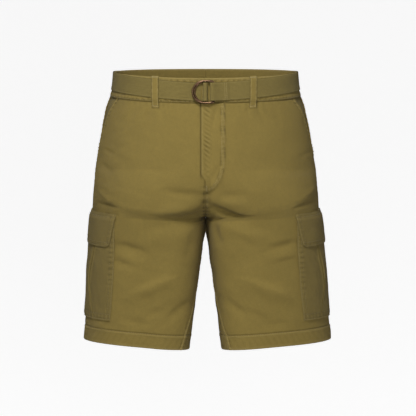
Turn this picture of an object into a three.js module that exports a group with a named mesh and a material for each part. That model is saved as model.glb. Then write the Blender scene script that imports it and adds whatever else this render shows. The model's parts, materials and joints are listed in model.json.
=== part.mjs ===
import * as THREE from 'three';

// Knee-length cargo shorts, filled out as when worn, with a belt of webbing and two D-rings.
// Millimetres. +Z is up, the front faces -Y and the wearer's left is +X.
// The origin is the middle of the waist opening, level with the waistband's top edge at the sides.

// Cloth and gaps
const CLOTH = 1.6;
const GAP = 0.3;
const HALF_GAP = GAP / 2;
const SMALL_STEP = 0.01;

// Heights of the seams
const BAND_HEIGHT = 43;
const BAND_FRONT_DIP = 6;
const HIP_FRONT = -168;
const HIP_BACK = -192;
const HIP_SIDE = -175;
const CROTCH = -262;
const CROTCH_SIDE = -252;
const HEM_INNER = -508.5;
const HEM_OUTER = -492.5;
const HEM_FRONT_LIFT = 5;
const HEM_DEPTH = 25;

// Roundness of the cross-sections: 2 is an ellipse, more is squarer
const TORSO_ROUNDNESS = 2.3;
const LEG_ROUNDNESS = 2.2;
const FORK_ROUNDNESS = 3.6; // the inner half of the legs, and how the rise curve turns under

// Cross-sections: outer and inner edge from the middle, depths before and behind, how far back the side
// lies, and how much further out the wearer's left leg stands
const SECTIONS = [
  { z: 8, outer: 166.5, inner: 0, front: 116, back: 118, side: 0, sway: 0 },
  { z: 0, outer: 167, inner: 0, front: 117, back: 119, side: 0, sway: 0 },
  { z: -25, outer: 169.5, inner: 0, front: 119, back: 122, side: 0, sway: 0 },
  { z: -43, outer: 174.5, inner: 0, front: 121, back: 125, side: 1, sway: 0 },
  { z: -65, outer: 182.8, inner: 0, front: 123.5, back: 129, side: 3, sway: 0 },
  { z: -90, outer: 188, inner: 0, front: 126, back: 133, side: 5, sway: 0 },
  { z: -125, outer: 194.6, inner: 0, front: 128.5, back: 137, side: 7, sway: 0 },
  { z: -176, outer: 202.6, inner: 0, front: 129.5, back: 139.5, side: 10, sway: 0 },
  { z: -225, outer: 207.2, inner: 0, front: 126, back: 132, side: 12, sway: 0.2 },
  { z: -262, outer: 209.8, inner: 0, front: 121, back: 121, side: 13, sway: 0.5 },
  { z: -270, outer: 210.6, inner: 1, front: 119.8, back: 119, side: 13.5, sway: 0.7 },
  { z: -310, outer: 214, inner: 5, front: 114, back: 109.5, side: 14, sway: 1.2 },
  { z: -354, outer: 217.5, inner: 10.3, front: 108, back: 101, side: 15, sway: 1.8 },
  { z: -398, outer: 221, inner: 15.8, front: 103, back: 94, side: 15, sway: 2.4 },
  { z: -443, outer: 225, inner: 21, front: 98.5, back: 88, side: 15, sway: 3 },
  { z: -487, outer: 229, inner: 26.5, front: 95, back: 83.5, side: 15, sway: 3.3 },
  { z: -520, outer: 231, inner: 30.5, front: 93.5, back: 81.5, side: 15, sway: 3.5 },
];

// Side seam: how far forward of the widest point it runs, measured round the cloth
const SIDE_SEAM = [
  { z: 10, forward: 8 },
  { z: -43, forward: 10 },
  { z: -152, forward: 15 },
  { z: -262, forward: 24 },
  { z: -350, forward: 28 },
  { z: -520, forward: 28 },
];

// Inseam: how far it swings forward of the innermost point on its way down, measured round the cloth
const INSEAM = [
  { z: -262, forward: 0 },
  { z: -300, forward: 4 },
  { z: -350, forward: 20 },
  { z: -415, forward: 47 },
  { z: -478, forward: 68 },
  { z: -520, forward: 77 },
];

// Slant pocket
const SLANT_TOP_WIDTH = 48;
const SLANT_BOTTOM = -152;
const SLANT_CURVE = 1.25;
const SLANT_LIP = { high: 0.7, from: 0.8, fadeFrom: -120 };
const FACING_UNDER_FRONT = 18;
const FACING_UNDER_BACK = 5;
const FACING_BOTTOM = -166;
const FACING_THICKNESS = 1.2;

// Columns of cells across each panel
const FRONT_COLUMNS = 24;
const FRONT_CROWDING = 0.55;
const BACK_COLUMNS = 18;
const BAND_COLUMNS = 34;
const BELT_COLUMNS = 72;

// Fly: the left front laps over the right, raised by the layers under its J-shaped stitching
const FLY_LAP = 7.4;
const FLY_UNDER = 2;
const FLY_WIDTH = 34;
const FLY_STRAIGHT_TO = -149;
const FLY_BOTTOM = -208;
const FLY_RISE = 2.3;
const FLY_RAMP = 9;
const FLY_FADE = { from: -206, to: -216 };
const LAP_END = { from: -176, to: -190 };
const UNDER_END = { from: -168, to: -174 };
const ZIP_HALF_WIDTH = 17;
const ZIP_THICKNESS = 1.1;
const ZIP_CLEARANCE = 0.7;
const ZIP_TOP_BELOW_BAND = 1.5;
const ZIP_BOTTOM = -172;

// Waistband
const BAND_PROUD = 1;
const BAND_THICKNESS = 2.8;
const BAND_UNDERLAP = 26;
const BAND_UNDERLAP_DROP = 3.2;
const BAND_UNDERLAP_RAMP = { from: 9, to: 22 };

// Belt and rings
const BELT_WIDTH = 33;
const BELT_THICKNESS = 1.5;
const BELT_TOP_FRONT = -13;
const BELT_TOP_SIDE = 2;
const BELT_TOP_BACK = -5;
const BELT_LIFT = 2.1;
const BELT_FOLD = [
  { x: 36, lift: 2.1 },
  { x: 22, lift: 2.1 },
  { x: 15.2, lift: 2.1 },
  { x: 13, lift: 3 },
  { x: 9.4, lift: 6.6 },
  { x: 8.55, lift: 8.7 },
  { x: 9.4, lift: 10.7 },
  { x: 11.4, lift: 11.5 },
  { x: 14, lift: 10.9 },
  { x: 20, lift: 8 },
  { x: 27, lift: 5.2 },
  { x: 33, lift: 4 },
  { x: 38, lift: 3.8 },
  { x: 43, lift: 2.1 },
];
const BELT_FREE_END = [
  { x: -24, lift: 2.1 },
  { x: -15, lift: 2.1 },
  { x: -7.4, lift: 2.1 },
];
const BELT_TONGUE = [
  { x: -3.9, lift: 2.2 },
  { x: -3.8, lift: 6.6 },
  { x: -3, lift: 8.8 },
  { x: -0.6, lift: 9.6 },
  { x: 1.6, lift: 9.2 },
  { x: 2.9, lift: 7.6 },
  { x: 3, lift: 2.2 },
];
const WIRE_RADIUS = 1.7;
const RING_SPAN = 39.4;
const RING_CORNER = 4;
const RING_ARC = 21;
const RINGS = [
  { name: 'd_ring_back', bar: 15.2, tip: -19.2, lift: 4.9 },
  { name: 'd_ring_front', bar: 11.4, tip: -22.8, lift: 8.65 },
];

// Belt loops: distance from the middle, at the front and at the back
const LOOP_WIDTH = 12.5;
const LOOP_THICKNESS = 1.6;
const LOOP_TOP_FRONT = 3.2;
const LOOP_TOP_BACK = -0.4;
const LOOP_ROWS = [
  { top: 0, lift: 2.95 },
  { top: -3, lift: 4.8 },
  { z: -20, lift: 4.9 },
  { z: -38.8, lift: 4.8 },
  { z: -44.5, lift: 3.1 },
  { z: -48, lift: 2.3 },
  { z: -54, lift: 2.2 },
];
const LOOPS = [
  { name: 'belt_loop_front_left', side: 1, x: 85, back: false },
  { name: 'belt_loop_front_right', side: -1, x: 89.5, back: false },
  { name: 'belt_loop_back_left', side: 1, x: 92, back: true },
  { name: 'belt_loop_back_right', side: -1, x: 92, back: true },
  { name: 'belt_loop_back_centre', side: 1, x: 0, back: true },
];

// Cargo pockets: distances round the leg from the side seam, forward is positive
const POCKET_FRONT = 80;
const POCKET_LEAN = 16;
const POCKET_BACK = -48;
const POCKET_TOP = -262;
const POCKET_BOTTOM = -449;
const POCKET_EDGE_LIFT = 2.2;
const POCKET_TOP_LIFT = 3;
const POCKET_MIDDLE_LIFT = 4.6;
const POCKET_SHOULDER = 9;
const PLEAT_AT = 17;
const PLEAT_CLOSED = 1.5;
const PLEAT_OPEN = 3.2;
const POCKET_COLUMNS = [
  { forward: 80 },
  { forward: 76 },
  { forward: 71 },
  { forward: 58 },
  { forward: 44 },
  { forward: 31 },
  { pleats: 2.4 },
  { pleats: 1.3, roll: 0.9 },
  { pleats: 0.4, sunk: true },
  { pleats: -0.4, sunk: true },
  { pleats: -1.3, roll: 0.9 },
  { pleats: -2.4 },
  { forward: 2 },
  { forward: -12 },
  { forward: -26 },
  { forward: -39 },
  { forward: -44 },
  { forward: -48 },
];
const POCKET_ROWS = [-262, -265.5, -271, -288, -306, -324, -342, -360, -378, -396, -414, -432, -440, -445.5, -449];
const FLAP_TOP = -252;
const FLAP_HEIGHT = 61;
const FLAP_TOP_MARGIN = 4;
const FLAP_TAPER = 10;
const FLAP_TOP_LIFT = 2.2;
const FLAP_SHOULDER_LIFT = 5.4;
const FLAP_SHOULDER_AT = 0.22;
const FLAP_FLARE = 0.8;
const FLAP_ROWS = [0, 0.07, 0.15, 0.25, 0.5, 0.75, 1];

// Largest folds: ends in the front view, half width and height (below zero is a trough). They are
// shallower towards their ends and start clear of the middle seams.
const FOLD_END_SHARE = 0.35;
const FOLDS_CLEAR_OF_SEAM = { from: 4, to: 14 };
const FOLDS = [
  { side: -1, back: false, x1: 8, z1: -246, x2: 52, z2: -258, wide: 9, high: -3.2 },
  { side: -1, back: false, x1: 45, z1: -257, x2: 104, z2: -271, wide: 10, high: -2.4 },
  { side: -1, back: false, x1: 14, z1: -222, x2: 66, z2: -229, wide: 13, high: 1.8 },
  { side: 1, back: false, x1: 10, z1: -236, x2: 58, z2: -256, wide: 9, high: -3.2 },
  { side: 1, back: false, x1: 55, z1: -255, x2: 106, z2: -273, wide: 10, high: -2.2 },
  { side: 1, back: false, x1: 8, z1: -252, x2: 27, z2: -300, wide: 8, high: -2.2 },
  { side: -1, back: false, x1: 118, z1: -318, x2: 160, z2: -308, wide: 10, high: -2.2 },
  { side: -1, back: false, x1: 72, z1: -373, x2: 124, z2: -394, wide: 12, high: 2 },
  { side: -1, back: false, x1: 32, z1: -416, x2: 70, z2: -446, wide: 11, high: -1.8 },
  { side: 1, back: false, x1: 125, z1: -312, x2: 162, z2: -304, wide: 10, high: -2.2 },
  { side: 1, back: false, x1: 84, z1: -375, x2: 136, z2: -397, wide: 12, high: 2 },
  { side: 1, back: false, x1: 36, z1: -410, x2: 74, z2: -440, wide: 11, high: -1.6 },
  { side: 1, back: true, x1: 12, z1: -236, x2: 84, z2: -262, wide: 11, high: -3 },
  { side: -1, back: true, x1: 14, z1: -240, x2: 90, z2: -262, wide: 11, high: -2.6 },
  { side: 1, back: true, x1: 40, z1: -290, x2: 118, z2: -306, wide: 12, high: -2.2 },
  { side: -1, back: true, x1: 34, z1: -296, x2: 108, z2: -318, wide: 12, high: -2.4 },
  { side: 1, back: true, x1: 60, z1: -372, x2: 130, z2: -392, wide: 13, high: 1.8 },
  { side: -1, back: true, x1: 70, z1: -366, x2: 138, z2: -390, wide: 13, high: 1.6 },
];

// Helpers for numbers

function mix(a, b, t) {
  return a + (b - a) * t;
}

function ease(from, to, value) {
  const t = Math.min(1, Math.max(0, (value - from) / (to - from)));
  return t * t * (3 - 2 * t);
}

function turnEase(t) {
  return (1 - Math.cos(Math.PI * t)) / 2;
}

function steps(from, to, count) {
  return Array.from({ length: count + 1 }, (unused, i) => mix(from, to, i / count));
}

// A value of a table at a height, on a smooth line through its rows, which run from the top down
function profile(table, key, z) {
  const last = table.length - 2;
  let i = 0;
  while (i < last && z < table[i + 1].z) i += 1;
  const a = table[i];
  const b = table[i + 1];
  const before = table[Math.max(0, i - 1)];
  const after = table[Math.min(table.length - 1, i + 2)];
  const t = Math.min(1, Math.max(0, (z - a.z) / (b.z - a.z)));
  const slopeA = (b[key] - before[key]) / (b.z - before.z) * (b.z - a.z);
  const slopeB = (after[key] - a[key]) / (after.z - a.z) * (b.z - a.z);
  const t2 = t * t;
  const t3 = t2 * t;
  return a[key] * (2 * t3 - 3 * t2 + 1) + slopeA * (t3 - 2 * t2 + t)
    + b[key] * (3 * t2 - 2 * t3) + slopeB * (t3 - t2);
}

// The surface of the cloth
// s runs round one half of the garment: 0 is the centre front or the inseam, 1 is the side, 2 is the
// centre back or the inseam again. r runs down it: 0 to 1 is the waistband, 1 to 2 the hips, 2 to 3 the
// rise curve that ends at the crotch, and 3 to 4 the leg.

function superellipse(angle, roundness) {
  const across = Math.abs(Math.sin(angle));
  const along = Math.abs(Math.cos(angle));
  const reach = (across ** roundness + along ** roundness) ** (-1 / roundness);
  return { sin: Math.sin(angle) * reach, cos: Math.cos(angle) * reach };
}

function bandTop(t, back) {
  return back ? 0 : -BAND_FRONT_DIP * Math.cos(t * Math.PI / 2) ** 2;
}

function height(t, back, r) {
  const out = turnEase(t);
  const top = bandTop(t, back);
  const hipInner = back ? HIP_BACK : HIP_FRONT;
  if (r <= 1) return top - BAND_HEIGHT * r;
  if (r <= 2) return mix(top - BAND_HEIGHT, mix(hipInner, HIP_SIDE, out), r - 1);
  if (r <= 3) {
    const under = superellipse((r - 2) * Math.PI / 2, mix(TORSO_ROUNDNESS, FORK_ROUNDNESS, r - 2)).sin;
    return mix(mix(hipInner, CROTCH, under), mix(HIP_SIDE, CROTCH_SIDE, r - 2), out);
  }
  const lift = back ? 0 : HEM_FRONT_LIFT * Math.sin(Math.PI * t);
  const hem = mix(HEM_INNER, HEM_OUTER, out) + lift;
  return mix(mix(CROTCH, CROTCH_SIDE, out), hem, r - 3);
}

// A point of one half's cross-section. It is part of an oval that starts on the middle plane: a quarter
// of it at the waist, and more as the rise curve turns under, up to the half that is a leg's front or back.
function sectionPoint(side, t, back, z, fork) {
  const start = fork * Math.PI / 2;
  const innerRoundness = mix(TORSO_ROUNDNESS, FORK_ROUNDNESS, fork);
  const past = superellipse(start, innerRoundness).sin;
  const angle = mix(-start, Math.PI / 2, t);
  const round = superellipse(angle, angle < 0 ? innerRoundness : mix(TORSO_ROUNDNESS, LEG_ROUNDNESS, fork));
  const inner = profile(SECTIONS, 'inner', z);
  const outer = profile(SECTIONS, 'outer', z) + side * profile(SECTIONS, 'sway', z);
  const half = (outer - inner) / (1 + past);
  const middle = profile(SECTIONS, 'side', z) * turnEase(t);
  const depth = back ? profile(SECTIONS, 'back', z) : -profile(SECTIONS, 'front', z);
  return { x: inner + half * (past + round.sin), y: middle + depth * round.cos };
}

function surfacePoint(side, s, r) {
  if (s < 0 && r > 3) return surfacePoint(side, s + 2, r);
  if (s > 2 && r > 3) return surfacePoint(side, s - 2, r);
  if (s < 0 || s > 2) {
    const mirrored = surfacePoint(side, s < 0 ? -s : 4 - s, r);
    mirrored.x = side * GAP - mirrored.x;
    return mirrored;
  }
  const back = s > 1;
  const t = back ? 2 - s : s;
  const z = height(t, back, r);
  const fork = Math.min(1, Math.max(0, r - 2));
  const point = sectionPoint(side, t, back, z, fork);
  return new THREE.Vector3(side * (HALF_GAP + point.x), point.y, z);
}

function surfaceNormal(side, s, r) {
  if (Math.abs(r - 3) < SMALL_STEP / 2) {
    if (Math.min(s, 2 - s) < SMALL_STEP) return new THREE.Vector3(-side, 0, -1).normalize();
    const above = surfaceNormal(side, s, 3 - 2 * SMALL_STEP);
    const below = surfaceNormal(side, s, 3 + 2 * SMALL_STEP);
    return above.add(below).normalize();
  }
  const d = SMALL_STEP;
  const round = surfacePoint(side, s + d, r).sub(surfacePoint(side, s - d, r));
  const down = surfacePoint(side, s, Math.min(4, r + d)).sub(surfacePoint(side, s, r - d));
  return down.cross(round).multiplyScalar(side).normalize();
}

function liftedPoint(side, s, r, lift) {
  return surfacePoint(side, s, r).addScaledVector(surfaceNormal(side, s, r), lift);
}

// How far s moves for a millimetre round the cloth
function perMillimetre(side, s, r) {
  const d = SMALL_STEP;
  return 2 * d / surfacePoint(side, s + d, r).distanceTo(surfacePoint(side, s - d, r));
}

// The s that lies a distance round the cloth from the widest point at the side, forward is positive
function roundFromSide(side, r, forward) {
  return walkRound(side, r, 1, -forward);
}

// The s that lies a distance round the cloth from another s
function walkRound(side, r, from, distance) {
  const direction = Math.sign(distance);
  let s = from;
  let left = Math.abs(distance);
  let here = surfacePoint(side, s, r);
  while (left > 0) {
    const next = surfacePoint(side, s + direction * SMALL_STEP, r);
    const gone = next.distanceTo(here);
    s += direction * SMALL_STEP * Math.min(1, left / gone);
    left -= gone;
    here = next;
  }
  return s;
}

// The s at a distance from the middle plane; below zero is past the middle
function acrossFromMiddle(side, r, x, back) {
  const middle = back ? 2 : 0;
  const direction = back ? -1 : 1;
  let s = middle + direction * x * perMillimetre(side, middle, r);
  for (let i = 0; i < 6; i += 1) {
    const error = x - side * surfacePoint(side, s, r).x;
    s += direction * error * perMillimetre(side, s, r);
  }
  return s;
}

// The r of a height at the side seam, or at any s
function rowAtHeight(side, s, z) {
  let low = -0.3;
  let high = 4;
  for (let i = 0; i < 40; i += 1) {
    const middle = (low + high) / 2;
    if (surfacePoint(side, s, middle).z > z) low = middle;
    else high = middle;
  }
  return (low + high) / 2;
}

function sideSeam(side, r) {
  return roundFromSide(side, r, profile(SIDE_SEAM, 'forward', height(1, false, r)));
}

// Closed walls of cloth
// place gives s, r, the lift of the outer face above the surface, and the thickness

function closedSolid(outer, inner, columns, rows) {
  const positions = [...outer, ...inner].flatMap((p) => [p.x, p.y, p.z]);
  const under = outer.length;
  const index = [];
  const quad = (a, b, c, d) => index.push(a, b, c, a, c, d);
  const at = (i, j) => j * columns + i;
  for (let j = 0; j < rows - 1; j += 1) {
    for (let i = 0; i < columns - 1; i += 1) {
      quad(at(i, j), at(i, j + 1), at(i + 1, j + 1), at(i + 1, j));
      quad(under + at(i, j), under + at(i + 1, j), under + at(i + 1, j + 1), under + at(i, j + 1));
    }
  }
  for (let i = 0; i < columns - 1; i += 1) {
    quad(at(i, 0), at(i + 1, 0), under + at(i + 1, 0), under + at(i, 0));
    const j = rows - 1;
    quad(at(i + 1, j), at(i, j), under + at(i, j), under + at(i + 1, j));
  }
  for (let j = 0; j < rows - 1; j += 1) {
    quad(at(0, j + 1), at(0, j), under + at(0, j), under + at(0, j + 1));
    const i = columns - 1;
    quad(at(i, j), at(i, j + 1), under + at(i, j + 1), under + at(i, j));
  }
  return solidFrom(positions, index);
}

function signedVolume(positions, index) {
  const corner = (k) => new THREE.Vector3().fromArray(positions, 3 * index[k]);
  let volume = 0;
  for (let k = 0; k < index.length; k += 3) {
    volume += corner(k).dot(corner(k + 1).cross(corner(k + 2))) / 6;
  }
  return volume;
}

function solidFrom(positions, index) {
  if (signedVolume(positions, index) < 0) index.reverse();
  const geometry = new THREE.BufferGeometry();
  geometry.setAttribute('position', new THREE.Float32BufferAttribute(positions, 3));
  geometry.setIndex(index);
  geometry.computeVertexNormals();
  return geometry;
}

function wall(side, columns, rows, place) {
  const outer = [];
  const inner = [];
  for (const v of rows) {
    for (const u of columns) {
      const spot = place(u, v);
      outer.push(liftedPoint(side, spot.s, spot.r, spot.lift));
      inner.push(liftedPoint(side, spot.s, spot.r, spot.lift - spot.thick));
    }
  }
  return closedSolid(outer, inner, columns.length, rows.length);
}

// Folds

function foldLift(side, back, x, z) {
  let lift = 0;
  for (const fold of FOLDS) {
    if (fold.side !== side || fold.back !== back) continue;
    const dx = fold.x2 - fold.x1;
    const dz = fold.z2 - fold.z1;
    const along = ((x - fold.x1) * dx + (z - fold.z1) * dz) / (dx * dx + dz * dz);
    const t = Math.min(1, Math.max(0, along));
    const away = Math.hypot(x - fold.x1 - t * dx, z - fold.z1 - t * dz) / fold.wide;
    const depth = mix(FOLD_END_SHARE, 1, Math.sin(Math.PI * mix(0.1, 0.9, t)));
    lift += fold.high * Math.exp(-away * away) * depth;
  }
  return lift;
}

// Fronts

function flyWidthAt(z) {
  if (z > FLY_STRAIGHT_TO) return FLY_WIDTH;
  const t = (FLY_STRAIGHT_TO - z) / (FLY_STRAIGHT_TO - FLY_BOTTOM);
  return t >= 1 ? 0 : FLY_WIDTH * Math.sqrt(1 - t * t);
}

function flyLift(x, z) {
  const inside = flyWidthAt(z) - x;
  return FLY_RISE * ease(-FLY_RAMP / 2, FLY_RAMP / 2, inside) * ease(FLY_FADE.to, FLY_FADE.from, z);
}

// The s of the inseam on the front of a leg, and half a gap there
function inseam(side, r) {
  return walkRound(side, r, 0, profile(INSEAM, 'forward', height(0, false, r)));
}

function inseamInset(side, s, r) {
  return HALF_GAP * perMillimetre(side, s, Math.max(r, 3 + SMALL_STEP));
}

function frontInnerEdge(side, r) {
  const z = height(0, false, r);
  if (r > 3 - SMALL_STEP) {
    const seam = inseam(side, r);
    return seam + inseamInset(side, seam, r);
  }
  const lap = side > 0
    ? FLY_LAP * ease(LAP_END.to, LAP_END.from, z)
    : FLY_UNDER * ease(UNDER_END.to, UNDER_END.from, z);
  return lap < HALF_GAP ? 0 : acrossFromMiddle(side, r, -lap, false);
}

// How far forward of the side seam the slant pocket's edge lies at a height
function slantWidth(z) {
  const t = Math.min(1, Math.max(0, (-BAND_HEIGHT - z) / (-BAND_HEIGHT - SLANT_BOTTOM)));
  return SLANT_TOP_WIDTH * (1 - t) ** SLANT_CURVE;
}

function slantEdge(side, r) {
  const z = height(1, false, r);
  const s = roundFromSide(side, r, profile(SIDE_SEAM, 'forward', z) + slantWidth(z));
  return s - HALF_GAP * perMillimetre(side, s, r);
}

function slantLip(u, z) {
  if (z < SLANT_BOTTOM) return 0;
  return SLANT_LIP.high * ease(SLANT_LIP.from, 1, u) * ease(SLANT_BOTTOM, SLANT_LIP.fadeFrom, z);
}

function foldsClear(x) {
  return ease(FOLDS_CLEAR_OF_SEAM.from, FOLDS_CLEAR_OF_SEAM.to, x);
}

// The row just under the waistband's seam
function seamRow() {
  return 1 + GAP / (-BAND_HEIGHT - HIP_SIDE);
}

// The row where the hem's turned-up cloth starts
function hemRow() {
  return 4 - HEM_DEPTH / (CROTCH_SIDE - HEM_OUTER);
}

function panelRows() {
  return [
    ...steps(seamRow(), 2, 9),
    ...steps(2, 3, 6).slice(1),
    ...steps(3, hemRow() - SMALL_STEP, 11).slice(1),
    hemRow() + SMALL_STEP,
    ...steps(hemRow(), 4, 2).slice(1),
  ];
}

function hemThickness(r) {
  return r > hemRow() ? 2 * CLOTH : CLOTH;
}

function frontPanel(side) {
  return wall(side, steps(0, 1, FRONT_COLUMNS), panelRows(), (u, r) => {
    const s = mix(frontInnerEdge(side, r), slantEdge(side, r), mix(u, u ** 2, FRONT_CROWDING));
    const p = surfacePoint(side, s, r);
    const x = side * p.x;
    const fly = side > 0 ? flyLift(x, p.z) : 0;
    const folds = foldLift(side, false, x, p.z) * foldsClear(x);
    return { s, r, lift: fly + slantLip(u, p.z) + folds, thick: hemThickness(r) };
  });
}

// Backs

function backPanel(side) {
  return wall(side, steps(0, 1, BACK_COLUMNS), panelRows(), (u, r) => {
    const seam = sideSeam(side, r);
    const first = seam + HALF_GAP * perMillimetre(side, seam, r);
    const swing = r > 3 - SMALL_STEP ? inseam(side, r) : 0;
    const last = r > 3 - SMALL_STEP ? 2 + swing - inseamInset(side, 2 + swing, r) : 2;
    const s = mix(first, last, u);
    const p = surfacePoint(side, s, r);
    const x = side * p.x;
    const onBack = ease(1, 1.1, s) * ease(2, 1.95, s - swing);
    const folds = foldLift(side, true, x, p.z) * foldsClear(x) * onBack;
    return { s, r, lift: folds, thick: hemThickness(r) };
  });
}

// Slant pocket facings

function pocketFacing(side) {
  const bottom = rowAtHeight(side, 1, FACING_BOTTOM);
  return wall(side, steps(0, 1, 6), steps(seamRow(), bottom, 8), (u, r) => {
    const z = height(1, false, r);
    const seam = profile(SIDE_SEAM, 'forward', z);
    const forward = mix(seam + slantWidth(z) + FACING_UNDER_FRONT, seam - FACING_UNDER_BACK, u);
    const s = roundFromSide(side, r, forward);
    return { s, r, lift: -CLOTH - GAP, thick: FACING_THICKNESS };
  });
}

// Waistband

function waistbandHalf(side) {
  return wall(side, steps(0, 1, BAND_COLUMNS), steps(0, 1, 3), (u, r) => {
    const lap = side > 0 ? FLY_LAP : BAND_UNDERLAP;
    const s = mix(acrossFromMiddle(side, r, -lap, false), 2, u);
    const x = side * surfacePoint(side, s, r).x;
    const ramp = BAND_UNDERLAP_RAMP;
    const under = side < 0 && s < 1 ? BAND_UNDERLAP_DROP * (1 - ease(ramp.from, ramp.to, x)) : 0;
    return { s, r, lift: BAND_PROUD - under, thick: BAND_THICKNESS };
  });
}

function flyZip() {
  const bottom = rowAtHeight(1, 0, ZIP_BOTTOM);
  const top = 1 + ZIP_TOP_BELOW_BAND / BAND_HEIGHT;
  return wall(1, steps(-1, 1, 4), steps(top, bottom, 6), (u, r) => {
    const s = acrossFromMiddle(1, r, u * ZIP_HALF_WIDTH, false);
    return { s, r, lift: -CLOTH - ZIP_CLEARANCE, thick: ZIP_THICKNESS };
  });
}

// Belt
// Round the waist the strap is placed by g, from 0 at the centre front by the wearer's left side (1) and
// the centre back (2) to the right side (3) and the centre front again (4).

function waistSpot(g) {
  return g <= 2 ? { side: 1, s: g } : { side: -1, s: 4 - g };
}

function beltTop(s) {
  if (s <= 1) {
    const out = Math.max(0, Math.sin(s * Math.PI / 2)) ** 1.5;
    return mix(BELT_TOP_FRONT, BELT_TOP_SIDE, out);
  }
  return mix(BELT_TOP_SIDE, BELT_TOP_BACK, turnEase(s - 1));
}

// A point over the waistband, at a height and a lift
function overBand(side, s, z, lift) {
  return liftedPoint(side, s, rowAtHeight(side, s, z), lift);
}

function rowBelowBandTop(side, s, drop) {
  const top = s > 1 ? bandTop(2 - s, true) : bandTop(Math.abs(s), false);
  return rowAtHeight(side, s, top + drop);
}

// g of a place on the front, x from the middle plane; past the middle g is below zero
function beltPlace(x) {
  const side = x < 0 ? -1 : 1;
  return side * acrossFromMiddle(side, 0.5, Math.abs(x), false);
}

function beltPoint(g, drop, lift) {
  const spot = g < 0 ? { side: -1, s: -g } : waistSpot(g);
  return overBand(spot.side, spot.s, beltTop(spot.s) + drop, lift);
}

// A strap on edge: path is a list of g and lift for the middle of its thickness
function strap(path) {
  const outer = [];
  const inner = [];
  const drops = [0, -BELT_WIDTH / 2, -BELT_WIDTH];
  const up = new THREE.Vector3(0, 0, 1);
  for (const drop of drops) {
    const line = path.map((spot) => beltPoint(spot.g, drop, spot.lift));
    line.forEach((point, i) => {
      const before = line[Math.max(0, i - 1)];
      const after = line[Math.min(line.length - 1, i + 1)];
      const away = after.clone().sub(before).cross(up).setZ(0).normalize();
      outer.push(point.clone().addScaledVector(away, BELT_THICKNESS / 2));
      inner.push(point.clone().addScaledVector(away, -BELT_THICKNESS / 2));
    });
  }
  return closedSolid(outer, inner, path.length, drops.length);
}

function frontSpots(list) {
  return list.map((spot) => ({ g: beltPlace(spot.x), lift: spot.lift }));
}

// The strap starts behind the rings' bars, turns round them, runs round the waist and ends in the rings
function beltStrap() {
  const start = frontSpots(BELT_FOLD);
  const end = frontSpots(BELT_FREE_END).map((spot) => ({ g: 4 + spot.g, lift: spot.lift }));
  const round = steps(start.at(-1).g, end[0].g, BELT_COLUMNS).slice(1, -1).map((g) => ({ g, lift: BELT_LIFT }));
  return strap([...start, ...round, ...end]);
}

function beltTongue() {
  return strap(frontSpots(BELT_TONGUE));
}

// A closed ring of round wire along a list of points; away is the side that the ring faces
function wireRing(points, away) {
  const sides = 8;
  const positions = [];
  const index = [];
  points.forEach((point, i) => {
    const before = points[(i + points.length - 1) % points.length];
    const after = points[(i + 1) % points.length];
    const along = after.clone().sub(before).normalize();
    const across = along.clone().cross(away).normalize();
    const out = across.clone().cross(along);
    for (let k = 0; k < sides; k += 1) {
      const angle = 2 * Math.PI * k / sides;
      const p = point.clone()
        .addScaledVector(out, WIRE_RADIUS * Math.cos(angle))
        .addScaledVector(across, WIRE_RADIUS * Math.sin(angle));
      positions.push(p.x, p.y, p.z);
    }
  });
  for (let i = 0; i < points.length; i += 1) {
    const next = (i + 1) % points.length;
    for (let k = 0; k < sides; k += 1) {
      const turn = (k + 1) % sides;
      const [a, b] = [i * sides + k, i * sides + turn];
      const [c, d] = [next * sides + turn, next * sides + k];
      index.push(a, b, c, a, c, d);
    }
  }
  return solidFrom(positions, index);
}

// A D: straight bar on the wearer's left, straight top and bottom, and a round tip
function dRing(ring) {
  const half = RING_SPAN / 2;
  const outline = [];
  const corner = (sign) => steps(0, Math.PI / 2, 3).map((angle) => ({
    x: ring.bar - RING_CORNER * (1 - Math.sin(sign > 0 ? angle : Math.PI / 2 - angle)),
    z: sign * (half - RING_CORNER * (1 - Math.cos(sign > 0 ? angle : Math.PI / 2 - angle))),
  }));
  outline.push(...corner(1), ...corner(-1));
  for (const angle of steps(-Math.PI / 2, Math.PI / 2, 16)) {
    outline.push({ x: ring.tip + RING_ARC * (1 - Math.cos(angle)), z: half * Math.sin(angle) });
  }
  const points = outline.map((p) => {
    const side = p.x < 0 ? -1 : 1;
    const s = acrossFromMiddle(side, 0.5, Math.abs(p.x), false);
    return overBand(side, s, BELT_TOP_FRONT - BELT_WIDTH / 2 + p.z, ring.lift);
  });
  return wireRing(points, new THREE.Vector3(0, -1, 0));
}

// Belt loops

function beltLoop(loop) {
  const half = LOOP_WIDTH / 2;
  const top = loop.back ? LOOP_TOP_BACK : LOOP_TOP_FRONT;
  return wall(loop.side, steps(-half, half, 2), LOOP_ROWS, (across, row) => {
    const drop = row.top === undefined ? row.z : top + row.top;
    const near = acrossFromMiddle(loop.side, 0, loop.x + across, loop.back);
    const level = rowBelowBandTop(loop.side, near, drop);
    const s = acrossFromMiddle(loop.side, level, loop.x + across, loop.back);
    return { s, r: rowBelowBandTop(loop.side, s, drop), lift: row.lift, thick: LOOP_THICKNESS };
  });
}

// Cargo pockets and flaps

// The place at a height, and a distance round the leg forward of the side seam. The pocket and its flap
// lean forward at the top.
function legSpot(side, z, forward) {
  const level = rowAtHeight(side, 1, z);
  const lean = POCKET_LEAN * (z - POCKET_BOTTOM) / (POCKET_TOP - POCKET_BOTTOM);
  const s = roundFromSide(side, level, profile(SIDE_SEAM, 'forward', z) + forward + lean);
  return { s, r: rowAtHeight(side, s, z) };
}

// How open the pleat stands at a height, from 0 at the pocket's top and bottom to 1
function pleatOpening(z) {
  return Math.sin(Math.PI * ease(POCKET_TOP, POCKET_BOTTOM, z)) ** 1.5;
}

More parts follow.
